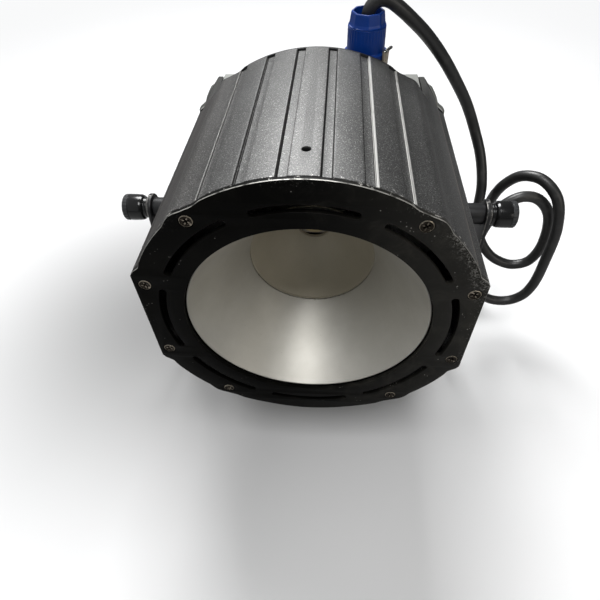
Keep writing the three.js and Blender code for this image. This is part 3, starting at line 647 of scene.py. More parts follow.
def revolve(profile, sides, axis="Y", at=(0, 0, 0), edge=0.3, closed=False, reshape=None):
    """Lathes (radius, height) points, corners rounded by `edge`. reshape(angle, radius, height)
    gives a new radius to each vertex."""
    verts, faces = spin(fillet(profile, edge, closed) if edge else profile, sides, closed)
    if reshape:
        shaped = []
        for x, y, z in verts:
            radius = hypot(x, y)
            if radius > 1e-6:
                scale = reshape(atan2(y, x), radius, z) / radius
                x, y = x * scale, y * scale
            shaped.append((x, y, z))
        verts = shaped
    return [tuple(a + b for a, b in zip(TO_AXIS[axis](*v), at)) for v in verts], faces


def rod(radius, start, end, sides, axis="Y", at=(0, 0, 0), edge=0):
    return revolve([(0, start), (radius, start), (radius, end), (0, end)], sides, axis, at, edge)


def tube(inner, outer, start, end, sides, axis="Y", at=(0, 0, 0), edge=0.3):
    profile = [(inner, start), (outer, start), (outer, end), (inner, end)]
    return revolve(profile, sides, axis, at, edge, closed=True)


def block(x_span, y_span, z_span, edge=0):
    """A box with rounded edges."""
    spans = (x_span, y_span, z_span)
    bm = bmesh.new()
    bmesh.ops.create_cube(bm, size=1.0)
    for v in bm.verts:
        v.co = Vector([(a + b) / 2 + c * (b - a) for c, (a, b) in zip(v.co, spans)])
    if edge:
        bmesh.ops.bevel(bm, geom=list(bm.edges), offset=min(edge, 0.45 * min(b - a for a, b in spans)),
                        segments=3, profile=0.5, affect="EDGES")
    verts = [tuple(v.co) for v in bm.verts]
    bm.verts.index_update()
    faces = [tuple(v.index for v in f.verts) for f in bm.faces]
    bm.free()
    return verts, faces


def sheet(loops, start, end, edge, axis):
    """A flat solid between two places on an axis, rims rounded; the first loop is the outline,
    the rest are holes."""
    steps = 3
    rows = []
    for j in range(steps + 1):
        t = pi / 2 * j / steps
        rows.append((edge * (1 - sin(t)), start + edge * (1 - cos(t))))
    rows += [(inward, end - (w - start)) for inward, w in reversed(rows)]
    verts, faces = [], []
    ends = [[], []]
    for number, loop in enumerate(loops):
        loop = without_repeats(loop, 1e-4)
        if turns_left(loop) != (number == 0):
            loop.reverse()
        first, count = len(verts), len(loop)
        for inward, w in rows:
            verts += [(x, y, w) for x, y in (inset(loop, inward) if inward > 1e-9 else loop)]
        faces += wall_faces(len(rows), count, first)
        ends[0].append(list(range(first, first + count)))
        ends[1].append(list(range(len(verts) - count, len(verts))))
    for rims in ends:
        flat = [i for rim in rims for i in rim]
        triangles = tessellate_polygon(
            [[Vector((verts[i][0], verts[i][1], 0.0)) for i in rim] for rim in rims])
        faces += [tuple(flat[i] for i in triangle) for triangle in triangles]
    if axis == "Y":
        verts = [(x, w, y) for x, y, w in verts]
    elif axis == "X":
        verts = [(w, x, y) for x, y, w in verts]
    return verts, faces


def sweep(path, radius, sides):
    """A round bar along a path, with flat ends."""
    points = [Vector(p) for p in path]
    across = (points[1] - points[0]).normalized().orthogonal().normalized()
    sections = []
    for i, point in enumerate(points):
        along = (points[min(i + 1, len(points) - 1)] - points[max(i - 1, 0)]).normalized()
        across = (across - along * across.dot(along)).normalized()
        side = along.cross(across)
        sections.append([tuple(point + (across * x + side * y) * radius)
                         for x, y in circle(0, 0, 1, sides)])
    return loft(sections)


# ------------------------------------------------------------------ meshes and objects
def plain_mesh(solid, name="raw"):
    verts, faces = solid
    mesh = bpy.data.meshes.new(name)
    mesh.from_pydata([(x * MM, y * MM, z * MM) for x, y, z in verts], [], faces)
    return mesh


def tidy(mesh, weld):
    """Turns the faces outward, after welding doubles if asked."""
    bm = bmesh.new()
    bm.from_mesh(mesh)
    if weld:
        bmesh.ops.remove_doubles(bm, verts=bm.verts, dist=1e-6)
        bmesh.ops.dissolve_degenerate(bm, edges=bm.edges, dist=1e-7)
    bmesh.ops.recalc_face_normals(bm, faces=bm.faces)
    bm.to_mesh(mesh)
    bm.free()
    return mesh


def solid_mesh(solid):
    return tidy(plain_mesh(solid), weld=False)


def carve(solid, cutters):
    """The mesh of a solid with other solids cut out of it."""
    scene = bpy.context.scene.collection
    carved = bpy.data.objects.new("carved", solid_mesh(solid))
    scene.objects.link(carved)
    helpers = [carved]
    for cutter in cutters:
        tool = bpy.data.objects.new("cutter", solid_mesh(cutter))
        scene.objects.link(tool)
        modifier = carved.modifiers.new("cut", "BOOLEAN")
        modifier.operation = "DIFFERENCE"
        modifier.object = tool
        modifier.solver = "EXACT"
        helpers.append(tool)
    depsgraph = bpy.context.evaluated_depsgraph_get()
    mesh = bpy.data.meshes.new_from_object(carved.evaluated_get(depsgraph), depsgraph=depsgraph)
    for helper in helpers:
        bpy.data.objects.remove(helper)
    return mesh


def add_mesh(name, mesh, materials, node, slot, body="lamp_head", sharp=32.0):
    """Adds an object that rides on `body` and stands for the CAD piece `node`; edges that turn
    by more than `sharp` degrees stay sharp."""
    tidy(mesh, weld=True)
    for face in mesh.polygons:
        face.use_smooth = True
    mesh.set_sharp_from_angle(angle=radians(sharp))
    mesh.update()
    obj = bpy.data.objects.new(name, mesh)
    bpy.context.scene.collection.objects.link(obj)
    obj.location = (0, 0, LIFT)
    for material in [materials] if isinstance(materials, str) else materials:
        mesh.materials.append(MATERIALS[material])
    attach(obj, body)
    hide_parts(node)
    return obj


def add_solid(name, solid, *arguments, **options):
    add_mesh(name, plain_mesh(solid, name), *arguments, **options)


def paint(obj, index, test):
    """Gives a material slot to the faces whose centre (in mm) and normal pass the test."""
    for face in obj.data.polygons:
        if test(face.center / MM, face.normal):
            face.material_index = index


# ------------------------------------------------------------------ shared outline
def housing_arc(side, grow, channels):
    """The right-hand arc, anticlockwise: side 1 is the top, -1 the underside."""
    slots = CHANNEL_ANGLES[:3] if channels else ()
    items = []
    for angle in range(28, 91):
        if all(abs(angle - slot) > 1.9 for slot in slots):
            radius = housing_radius(side * angle) + grow
            items.append((angle, [polar(radius, side * angle)]))
    for slot in slots:
        radius = housing_radius(side * slot) + grow
        floor_r = radius - CHANNEL_DEPTH
        lip_r = sqrt(radius * radius - CHANNEL_HALF * CHANNEL_HALF)
        points = [polar(r, side * slot, across)
                  for r, across in ((lip_r, -CHANNEL_HALF), (floor_r, -CHANNEL_HALF),
                                    (floor_r, CHANNEL_HALF), (lip_r, CHANNEL_HALF))]
        items.append((slot, points if side > 0 else points[::-1]))
    items.sort(key=lambda item: item[0])
    arc = [point for _, points in items for point in points]
    return arc if side > 0 else arc[::-1]


def outline(grow=0.0, channels=False):
    """Outline (x, z) of the housing, plate and chassis, grown outward by `grow`."""
    shoulder = [(SIDE_X + grow, 38.8 + 0.45 * grow), (99.4 + 0.85 * grow, 41.4 + 0.6 * grow),
                (94.6 + 0.7 * grow, 45.2 + 0.7 * grow)]
    top = housing_arc(1, grow, channels)
    side = fillet([(SIDE_X + grow, 0.0)] + shoulder + [top[0]], 2.2)[1:-1]
    right = housing_arc(-1, grow, channels) + [(x, -z) for x, z in side[::-1]] + side + top
    full = without_repeats(right + [(-x, z) for x, z in reversed(right)], 0.02)
    return fillet(full, 0.28, closed=True, steps=3) if channels else full


def above(loop, z):
    """The part of a closed loop above z."""
    kept = []
    for i, a in enumerate(loop):
        b = loop[(i + 1) % len(loop)]
        if a[1] > z:
            kept.append(a)
        if (a[1] > z) != (b[1] > z):
            t = (z - a[1]) / (b[1] - a[1])
            kept.append((a[0] + t * (b[0] - a[0]), z))
    return kept


# ------------------------------------------------------------------ front plate and the screws
def arc_slot(centre, radius=88.7, width=4.3, half_angle=18.25):
    """A round-ended slot along an arc."""
    half = width / 2
    end = degrees(half / radius)
    start, stop = centre - half_angle + end, centre + half_angle - end
    sweep_angles = [(stop - start) * i / 26 for i in range(27)]

    def cap(angle, turn):
        middle = polar(radius, angle)
        return [polar(half, angle + turn + 180 * j / 8, centre=middle) for j in range(1, 8)]

    return ([polar(radius + half, start + a) for a in sweep_angles] + cap(stop, 0)
            + [polar(radius - half, stop - a) for a in sweep_angles] + cap(start, 180))


def on_plate_edge(centre, normal):
    return (abs(normal.y) < 0.93 and hypot(centre.x, centre.z) > 97.5
            and all(gap((centre.x, centre.z), port(a)) > 5 for a in FRONT_SCREWS))


holes = [circle(0, 0, 76, 220)] + [arc_slot(45 * i) for i in range(8)]
holes += [circle(*port(a), 4.0, 36) for a in FRONT_SCREWS]
plate = add_mesh("front_plate_skin", solid_mesh(sheet([outline()] + holes, -114, -111, 0.32, "Y")),
                 ["plate_black", "plate_edge"], "front_plate", "front_plate")
paint(plate, 1, on_plate_edge)


def screw_mesh(profile, half_length, half_width, outer_y, inner_y):
    """A screw whose head is cut by a tapered cross, made of two wedges."""
    wedges = []
    for crossed in (False, True):
        verts = []
        for y, taper in ((outer_y, 1.12), (inner_y, 0.45)):
            for x_sign, z_sign in ((-1, -1), (1, -1), (1, 1), (-1, 1)):
                u = half_length * taper * x_sign
                v = half_width * (0.6 + 0.4 * taper) * z_sign
                verts.append((v, y, u) if crossed else (u, y, v))
        wedges.append((verts, [(0, 1, 2, 3), (7, 6, 5, 4), (0, 4, 5, 1), (1, 5, 6, 2),
                               (2, 6, 7, 3), (3, 7, 4, 0)]))
    return carve(revolve(profile, 40, edge=0.12), wedges)


def add_screws(prefix, mesh, screws, materials, rim_radius=None):
    """Copies a screw to each port; beyond rim_radius it takes the second material."""
    for number, (angle, turn) in enumerate(screws.items(), 1):
        x, z = port(angle)
        copy = mesh.copy()
        copy.transform(Matrix.Translation((x * MM, 0, z * MM))
                       @ Matrix.Rotation(radians(turn), 4, "Y"))
        node = f"{prefix}_screw_{number}"
        screw = add_mesh(node + "_head", copy, materials, node, "screw")
        if rim_radius:
            paint(screw, 1, lambda c, n: hypot(c.x - x, c.z - z) > rim_radius)


front_screw = screw_mesh(
    [(0, -113.75), (2.4, -113.78), (3.35, -113.92), (3.72, -113.7), (1.85, -112.0), (1.85, -100),
     (0, -100)], half_length=2.45, half_width=0.62, outer_y=-114.8, inner_y=-112.1)
add_screws("front", front_screw, FRONT_SCREWS, ["screw_metal", "screw_rim"], rim_radius=3.28)


# ------------------------------------------------------------------ extruded housing
def in_dark_opening(centre, normal):
    """The bore near the front of the top, and the inside of the top, painted near-black as the shade
    inside them.
    """
    return (hypot(centre.x, centre.y + 88) < 2.6 and abs(normal.z) < 0.8
            or centre.z > 80 and hypot(centre.x, centre.z) < 103)


def lit_channel_wall(centre, normal):
    """Walls and lips of the outer channels that face -X, which take the bare metal as a painted
    highlight of the light they catch.
    """
    if centre.z < 20 or abs(normal.y) > 0.5:
        return False
    for angle in CHANNEL_ANGLES:
        if 78 <= angle <= 112:
            continue
        c, s = cos(radians(angle)), sin(radians(angle))
        radius = channel_radius(angle)
        across = -centre.x * s + centre.z * c
        out = centre.x * c + centre.z * s
        facing = -normal.x * s + normal.z * c
        if (abs(abs(across) - CHANNEL_HALF) < 0.62 and radius - 1.75 < out < radius + 0.3
                and across < 0 and facing > 0.30):
            return True
    return False


bay = block((-130, 130), (39, 95), (67.6, 140))
top_bore = revolve([(0, 95), (2.15, 95), (2.15, 104.7), (2.5, 105.2), (2.7, 106.2), (0, 106.2)],
                   48, "Z", (0, -88, 0), edge=0)
tilt_bore = rod(4.3, -115, 115, 40, "X")
shell = carve(sheet([outline(channels=True), outline(-2.9)], -110.7, 82, 0.3, "Y"),
              [bay, top_bore, tilt_bore])
housing = add_mesh("body_shell", shell,
                   ["housing_gunmetal", "shade_black", "housing_highlight_edge", "cut_edge"],
                   "body_extrusion", "housing", sharp=30)
# the bore and the inside of the top are painted near-black as shade
paint(housing, 1, in_dark_opening)
# the lit walls of the outer channels get the bare metal as a painted highlight
paint(housing, 2, lit_channel_wall)
paint(housing, 3, lambda c, n: n.z > 0.9 and abs(c.z - 67.6) < 0.8 and c.y > 38)
ports = []
for a in FRONT_SCREWS:
    x, z = port(a)
    # the two under the bay stop in front of it
    ports.append(tube(2.3, 4.7, -110.2, 81.6 if a in REAR_SCREWS else 38.6, 32, at=(x, 0, z),
                      edge=0.2))
add_solid("screw_ports", merge(ports), "housing_gunmetal", "body_extrusion", "housing")

# ------------------------------------------------------------------ optics
# Reflector cone (radius, y) from the front opening back; the skin behind it follows the stations.
CONE = [(74.5, -110.0), (71.3, -104.0), (68.0, -97.9), (64.5, -91.4), (60.75, -84.4),
        (56.8, -77.3), (52.6, -69.8), (48.2, -62.0), (43.7, -54.0)]
bead = [polar(0.62, t, centre=(75.0, -109.7)) for t in range(80, -200, -20)]
cone = CONE + [(44.6, -53.9)] + [(r + 0.85, y + 0.45) for r, y in CONE[-2:0:-1]]
add_solid("reflector_cone", revolve(cone + [(74.7, -108.7)] + bead, 200, edge=0, closed=True),
          "reflector_outer", "outer_reflector", "reflector", sharp=38)
add_solid("reflector_step_ring", tube(44.1, 60, -53.6, -51.9, 120), "steel",
          "reflector_collar", "internal_metal")
# Reflector bowl (radius, y): inside face going back, outside face coming forward, front rim.
bowl = list(map(tuple, catmull([(43.3, -51.5), (38.6, -41.6), (28.2, -27.2), (14.0, -15.3)], 8)))
bowl += map(tuple, catmull([(15.0, -15.0), (29.0, -26.4), (39.6, -41.0), (43.9, -50.3)], 8))
bowl += [(50, -50.3), (50, -51.4), (44.0, -51.6), (43.95, -52.5), (43.6, -52.9), (43.2, -52.6),
         (43.15, -52.0)]
add_solid("reflector_bowl", revolve(bowl, 160, edge=0, closed=True), "reflector_inner",
          "inner_reflector", "reflector_inner", sharp=38)
for i, a in enumerate((90, 210, 330), 1):
    hexagon = [polar(3.0, 60 * k, centre=polar(55.5, a)) for k in range(6)]
    add_solid(f"reflector_post_{i}_hex",
              sheet([fillet(hexagon, 0.3, True)], -51.6, -12.9, 0.35, "Y"),
              "brass", f"reflector_post_{i}", "post_brass")
add_solid("led_ceramic", block((-12, 12), (-12.0, -10.7), (-12, 12), 0.25), "white_ceramic",
          "led_module", "led")
add_solid("led_phosphor",
          revolve([(0, -12.7), (10.9, -12.68), (11.3, -12.3), (11.5, -11.9), (0, -11.9)], 72,
                  edge=0.15), "phosphor", "led_module", "led")
window = revolve([(0, -20), (14.6, -20), (13.2, -13.2), (13.2, -11), (0, -11)], 72, edge=0)
clamp_holes = [rod(1.6, -20, -11, 24, at=(x, 0, x)) for x in (16.4, -16.4)]
add_mesh("led_clamp_ring",
         carve(block((-20, 20), (-14.9, -13.1), (-20, 20), 0.5), [window] + clamp_holes),
         "white_ceramic", "led_holder", "holder")
add_solid("led_clamp_feet",
          merge(block(span, (-13.2, -10.8), (-20, 20), 0.4) for span in ((-20, -14.5), (14.5, 20))),
          "white_ceramic", "led_holder", "holder")

# ------------------------------------------------------------------ cooling
FIN_PITCH = 9
FAN_BLADES = 7


def fin(number):
    x = number * FIN_PITCH
    half = sqrt(60.5 ** 2 - (abs(x) + 1) ** 2)
    return block((x - 0.9, x + 0.9), (-5, 38), (-half, half), 0.35)


def fan_housing():
    corner_holes = [circle(x, z, 2.2, 20) for x in (-40, 40) for z in (-40, 40)]
    solids = [sheet([rounded_rect((-46, 46), (-46, 46), 4, 8), circle(0, 0, 43.9, 120)]
                    + corner_holes, 57, 82, 0.5, "Y")]
    for a in (45, 135, 225, 315):
        strut = [polar(r, a, across) for r, across in ((10, -1.5), (45, -1.5), (45, 1.5), (10, 1.5))]
        solids.append(sheet([strut], 78.6, 81.9, 0.4, "Y"))
    solids.append(rod(19, 78.5, 82, 80, edge=0.5))
    solids.append(rod(1.6, 64, 79, 20))
    return merge(solids)


def fan_blade(number):
    """A twisted blade lofted outward from the hub."""
    sides, stations = 14, 9
    root, tip = 18.6, 42.3
    sections = []
    for k in range(stations):
        radius = root + (tip - root) * k / (stations - 1)
        pitch = np.interp(radius, [18, 30, tip], [30, 34, 38])
        half_chord = np.interp(radius, [18, 30, tip], [9.2, 10.2, 10.6])
        section = []
        for j in range(sides):
            t = 2 * pi * j / sides
            camber = 0.75 * sin(t) + 0.9 * (1 - cos(t) ** 2)
            around, along = polar(half_chord * cos(t), pitch, camber)
            angle = number * 2 * pi / FAN_BLADES + around / radius
            y = min(77.7, max(60.9, 69.3 + along))
            section.append((radius * cos(angle), y, radius * sin(angle)))
        sections.append(section)
    return loft(sections)


def guard_hole(inner, outer, middle):
    """A quarter of a ring, with a rib's half width left at each end."""
    inner_rib, outer_rib = degrees(1.6 / inner), degrees(1.6 / outer)
    hole = [polar(outer, middle - 45 + outer_rib + (90 - 2 * outer_rib) * i / 20)
            for i in range(21)]
    hole += [polar(inner, middle + 45 - inner_rib - (90 - 2 * inner_rib) * i / 20)
             for i in range(21)]
    return fillet(hole, 1.0, True)


add_solid("heat_sink_fins",
          merge([rod(62, -10.3, -4.3, 120, edge=0.4)] + [fin(i) for i in range(-6, 7)]),
          "black_anodised", "heat_sink", "heat_sink")
add_solid("fan_housing", fan_housing(), "black_plastic", "fan_frame", "fan")
hub = revolve([(0, 61), (17.6, 61), (19.5, 62.8), (19.5, 77.6), (18.2, 77.6), (18.2, 70),
               (2.2, 70), (2.2, 77.6), (2.0, 63.5), (0, 63.5)], 80, edge=0.25)
add_solid("fan_blades", merge([hub] + [fan_blade(i) for i in range(FAN_BLADES)]),
          "black_plastic", "fan_rotor", "fan", body="fan_rotor")
guard_holes = [guard_hole(inner, outer, 45 + 90 * k)
               for inner, outer in ((11, 19.2), (21.2, 29.4), (31.4, 40.6)) for k in range(4)]
add_mesh("finger_guard",
         solid_mesh(sheet([circle(0, 0, 46, 120)] + guard_holes, 85.95, 87.4, 0.35, "Y")),
         "dark_coat", "fan_guard", "dark_metal")

# ------------------------------------------------------------------ rear chassis, shelf and riser
MENU_BUTTON_X = (2, 16, 30, 44)
MENU_Z = 57
cutouts = [circle(0, 0, 43, 120), rounded_rect((-45, -13), (50.5, 62.5), 0.8)]
cutouts += [circle(x, MENU_Z, 4.3, 32) for x in MENU_BUTTON_X]
cutouts += [circle(x, DATA_Z, 12.5, 64) for x in (DATA_X, -DATA_X)]
cutouts += [circle(0, FUSE_Z, 7.1, 40)] + [circle(*port(a), 2.4, 24) for a in REAR_SCREWS]
lower = [p for p in outline(1.2) if p[1] < 58.6]
right = sorted((p for p in lower if p[0] > 0), key=lambda p: atan2(p[1], p[0]))
left = sorted((p for p in lower if p[0] < 0), key=lambda p: atan2(p[1], p[0]) % (2 * pi))
shoulders = fillet([(88.9, 58.7), (82.5, 62.7), (74.2, SHELF_Z), (0, SHELF_Z), (-74.2, SHELF_Z),
                    (-82.5, 62.7), (-88.9, 58.7)], 3.0)
shelf = sheet([rounded_rect((-76, 76), (39.4, 85.6), 0.6)]
              + [circle(x, MAINS_Y, 12.9, 64) for x in (MAINS_X, -MAINS_X)], 66, 68, 0.3, "Z")
add_solid("rear_pan", merge([sheet([right + shoulders + left] + cutouts, 83.6, 85.6, 0.3, "Y"),
                             shelf]), "chassis_grey", "rear_chassis", "chassis")
add_solid("bay_riser", sheet([above(outline(-0.15), SHELF_Z)], 39.3, 41.1, 0.2, "Y"),
          "dark_coat", "rear_chassis", "chassis")
rear_screw = screw_mesh(
    [(0, 88.1), (1.6, 88.05), (2.9, 87.5), (3.6, 86.7), (3.6, 85.95), (1.85, 85.9), (1.85, 72),
     (0, 72)], half_length=1.9, half_width=0.42, outer_y=89.1, inner_y=87.0)
add_screws("rear", rear_screw, REAR_SCREWS, "screw_metal")

# ------------------------------------------------------------------ rear panel controls
bezel = [rounded_rect((-47, -11), (49, 64), 1.2), rounded_rect((-44.4, -13.6), (51.2, 61.8), 0.8)]
add_mesh("display_bezel", solid_mesh(sheet(bezel, 85.9, 87.1, 0.3, "Y")), "black_plastic",
         "display_window", "display")
add_solid("display_pane", block((-44.6, -13.4), (83.4, 86.6), (51.0, 62.0), 0.3),
          "display_glass", "display_window", "display")
button = [(0, 79.5), (5.6, 79.5), (5.6, 81.8), (3.8, 81.8), (3.8, 88.3), (3.2, 88.6), (0, 88.45)]
for i, x in enumerate(MENU_BUTTON_X, 1):
    node = f"menu_button_{i}"
    add_solid(node + "_cap", revolve(button, 48, at=(x, 0, MENU_Z)), "black_plastic", node,
              "black_plastic", body=node)


def around_data(x, radius, angles):
    return [polar(radius, a, centre=(x, DATA_Z)) for a in angles]


def data_flange(x, holes):
    return sheet([rounded_rect((x - 13, x + 13), (-81.5, -50.5), 2.0),
                  circle(x, DATA_Z, 9.6, 64)] + holes, 85.9, 89.4, 0.4, "Y")


x = -DATA_X
in_flange = data_flange(x, [circle(x - 9.5, -78, 1.5, 20), circle(x + 9.5, -54, 1.5, 20)])
in_shell = revolve([(9.6, 73), (9.6, 88.9), (10.4, 89.3), (11.9, 88.8), (11.9, 64), (0, 64),
                    (0, 73)], 80, at=(x, 0, DATA_Z), edge=0.2)
add_solid("data_in_shell", merge([in_flange, in_shell]), "dark_coat", "data_socket_in",
          "dark_metal")
pin = [(0, 72), (1.2, 72), (1.2, 85.4), (0.6, 86), (0, 86)]
pins = [revolve(pin, 20, at=(px, 0, pz), edge=0.1) for px, pz in around_data(x, 5, (90, 210, 330))]
add_solid("data_in_pins", merge(pins), "steel", "data_socket_in", "dark_metal")
add_mesh("data_out_flange",
         carve(data_flange(DATA_X, []), [block((27.8, 36.2), (87.0, 95), (-55.1, -46))]),
         "dark_coat", "data_socket_out", "dark_metal")
add_solid("data_out_shell",
          revolve([(9.6, 73), (9.6, 86.9), (11.9, 86.9), (11.9, 64), (0, 64), (0, 73)], 80,
                  at=(DATA_X, 0, DATA_Z), edge=0.2), "dark_coat", "data_socket_out", "dark_metal")
pin_holes = [circle(px, pz, 1.5, 20) for px, pz in around_data(DATA_X, 5, (270, 30, 150))]
add_solid("data_out_insert",
          sheet([circle(DATA_X, DATA_Z, 8.2, 64)] + pin_holes, 72, 88.4, 0.35, "Y"),
          "black_plastic", "data_socket_out", "dark_metal")
add_solid("data_release_key", block((28.3, 35.7), (88.7, 91.2), (-54.7, -50.8), 0.5), "steel",
          "data_release_tab", "bright_metal", body="data_release")
add_solid("fuse_collar",
          revolve([(6.6, 66), (6.6, 85.9), (8.6, 85.9), (8.6, 87.5), (4.9, 87.5), (4.9, 70),
                   (0, 70), (0, 66)], 64, at=(0, 0, FUSE_Z), edge=0.25),
          "black_plastic", "fuse_holder", "black_plastic")
fuse_cap = revolve([(0, 74), (4.4, 74), (4.4, 87.8), (7.0, 87.8), (6.85, 91.6), (6.1, 92.6),
                    (0, 92.6)], 64, at=(0, 0, FUSE_Z))
coin_slot = block((-4.8, 4.8), (91.0, 100), (FUSE_Z - 0.7, FUSE_Z + 0.7))
add_mesh("fuse_knob", carve(fuse_cap, [coin_slot]), "black_plastic", "fuse_cap", "black_plastic",
         body="fuse_cap")
loop = sweep([(-70, 86.95 + 11 * cos(radians(a)), 8 * sin(radians(a)))
              for a in range(-90, 91, 5)], 2.0, 24)
loop_base = sheet([rounded_rect((-75, -65), (-14, 14), 3), circle(-70, 11.6, 1.2, 16),
                   circle(-70, -11.6, 1.2, 16)], 85.9, 87.9, 0.4, "Y")
add_solid("safety_loop", merge([loop, loop_base]), "steel", "safety_eye", "bright_metal")


# ------------------------------------------------------------------ power connectors on the shelf
def mains_socket(x, rim_z, material, node, slot, extra=()):
    """A flanged cup with its two flange screws."""
    screws = ((x - 9.6, MAINS_Y - 12.1), (x + 9.6, MAINS_Y + 12.1))
    flange = sheet([rounded_rect((x - 13, x + 13), (MAINS_Y - 15.5, MAINS_Y + 15.5), 2.6),
                    circle(x, MAINS_Y, 12.4, 72)] + [circle(*s, 1.6, 20) for s in screws],
                   68.3, 70.4, 0.35, "Z")
    cup = revolve([(12.5, 72), (12.5, rim_z - 0.6), (13.1, rim_z), (14.0, rim_z - 0.1),
                   (14.4, rim_z - 0.9), (14.4, 70.2), (12.3, 69), (12.3, 48), (0, 48), (0, 72)],
                  96, "Z", (x, MAINS_Y, 0), edge=0.2)
    add_solid(node + "_cup", merge([flange, cup, *extra]), material, node, slot)
    head = [(0, 69.2), (2.2, 69.2), (2.2, 70.6), (1.5, 71.3), (0, 71.4)]
    add_solid(node + "_screws", merge(revolve(head, 28, "Z", (*s, 0), edge=0.15) for s in screws),
              "steel", node, slot)


key = block((MAINS_X - 2.2, MAINS_X + 2.2), (73.2, 75.9), (72, 88), 0.4)
mains_socket(MAINS_X, 91.5, "inlet_blue", "mains_inlet", "inlet_plastic", [key])
mains_socket(-MAINS_X, 83.5, "outlet_grey", "mains_outlet", "outlet_plastic")
contacts = []
for a in (0, 120, 240):
    x, y = polar(5.2, a, centre=(-MAINS_X, MAINS_Y))
    contacts.append(rounded_rect((x - 0.9, x + 0.9), (y - 1.8, y + 1.8), 0.3, 3))
add_solid("mains_outlet_core",
          sheet([circle(-MAINS_X, MAINS_Y, 8.2, 72)] + contacts, 71, 81.5, 0.4, "Z"),
          "black_plastic", "mains_outlet", "outlet_plastic")


# ------------------------------------------------------------------ twist-lock plug on the lead
def groove(angle, count):
    """0 to 1 and back, `count` times round."""
    return 0.5 - 0.5 * cos(count * angle)


def barrel_ribs(angle, radius, z):
    if 101.0 < z < 111.2 and radius > 12:
        depth = smooth(101.0, 106.5, z) * (1 - smooth(110.6, 111.2, z))
        return radius - 0.30 * depth * groove(angle, 36) ** 1.6
    return radius


def octagon(angle, radius, z):
    """Cuts the nut to eight flats above its foot."""
    if z < 112.2 or radius < 10.0:
        return radius
    offset = (angle % radians(45)) - radians(22.5)
    return min(radius * cos(radians(22.5)) / cos(offset), radius * 0.982)


def swing(solid):
    """Turns a solid made about the origin to the latch's side of the plug."""
    verts, faces = solid
    return [(*polar(x, -30, y, PLUG), z) for x, y, z in verts], faces


barrel = fillet([(0, 73), (12, 73), (12, 92.3), (14.9, 92.3), (14.9, 95.4), (13.5, 95.9)], 0.35)
barrel += [(13.3, 96.2)]
barrel += [(13.3 - 0.15 * (z - 96.2) / 15.4, z) for z in np.linspace(96.9, 110.9, 24)]
barrel += fillet([(13.15, 111.0), (13.15, 111.6), (5.1, 111.6), (5.1, 108)], 0.35)
add_solid("plug_barrel", revolve(barrel, 240, "Z", PLUG, edge=0, reshape=barrel_ribs),
          "plug_blue", "plug_shell", "plug_plastic", body="mains_plug", sharp=40)
nut = [(6.4, 111.9), (12.9, 111.9), (12.95, 112.6), (12.35, 114.0), (11.45, 119.8), (11.1, 120.5),
       (10.0, 120.5), (9.6, 119.8), (9.4, 114.6), (6.4, 114.6)]
add_solid("plug_nut", revolve(nut, 240, "Z", PLUG, edge=0.25, closed=True, reshape=octagon),
          "plug_blue", "plug_bushing", "plug_plastic", body="mains_plug", sharp=40)
lever = fillet([(-2.6, 82.8), (2.6, 82.8), (4.4, 98.4), (-4.4, 98.4)], 0.8, True)
add_solid("latch_lever", swing(sheet([lever], 15.3, 16.7, 0.3, "X")), "latch_metal",
          "plug_latch", "latch_metal", body="plug_latch")
# Curled lip at the top of the lever: (distance from the plug axis, z).
LIP = [(15.3, 97.6), (16.4, 97.9), (17.5, 97.9), (18.4, 98.2), (18.9, 98.9), (18.7, 99.6),
       (18.0, 100.0), (17.1, 99.9), (16.6, 99.5), (17.3, 99.2), (17.9, 99.1), (18.0, 98.8),
       (17.4, 98.5), (16.2, 98.6), (15.4, 98.4)]
add_solid("latch_thumb", swing(sheet([fillet(LIP, 0.25, True)], -4.3, 4.3, 0.12, "Y")), "steel",
          "plug_latch", "latch_metal", body="plug_latch")

# ------------------------------------------------------------------ mains lead
# Stations (x, y, z) of the cable's centre line, from the lamp's plug to the end plug.
CABLE_WAY = [
    (33, 61, 82), (33, 61, 97), (33, 61, 111), (33.1, 61, 117.5), (34.5, 60.9, 122.2),
    (38, 60.8, 125.7), (42.7, 60.8, 127), (47.6, 61.2, 125.6), (54.1, 62.3, 121.2),
    (64.9, 65.4, 112.2), (75.9, 69.9, 101.7), (90.6, 77.5, 84.6), (105.7, 86.6, 63.9),
    (122.3, 95.8, 38.5), (134.7, 97.5, 14.6), (143.4, 89.7, -6.2), (147.6, 77.5, -28),
    (147, 66, -50), (153, 57, -72), (164, 52, -87), (175, 50, -94.5), (188, 48.3, -97.5),
    (199.8, 46.8, -92.5), (205.3, 45.5, -79), (205.3, 44.5, -57), (199.5, 43.5, -34),
    (190, 42.2, -20.5), (179.5, 41, -13.5), (167.5, 39.6, -13), (154, 37.8, -23.5),
    (143.5, 35, -60), (149, 32.6, -101), (156.5, 31.6, -117), (167, 30.8, -126.5),
    (179, 30.2, -130.3), (191, 29.8, -128.8), (200.5, 29.2, -121), (205.6, 28.8, -106),
    (206, 28.5, -72), (204, 31, -36), (196.5, 37.5, -11), (184, 48, -1), (172, 59, -5),
    (163.5, 70, -22), (160, 78.5, -46), (159, 80.5, -74), (158, 78.5, -100), (158, 78, -114),
    (158, 78, -122), (158, 78, -129.8)]


def cable():
    """The jacket, held inside the box of the CAD cable."""
    verts, faces = sweep(resample(catmull(CABLE_WAY), 1.7), 4.5, 28)
    low, high = [[corner[i] / MM - (0, 0, LIFT / MM)[i] for i in range(3)]
                 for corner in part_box("mains_cable")]
    return [tuple(min(max(c, low[i]), high[i]) for i, c in enumerate(v)) for v in verts], faces


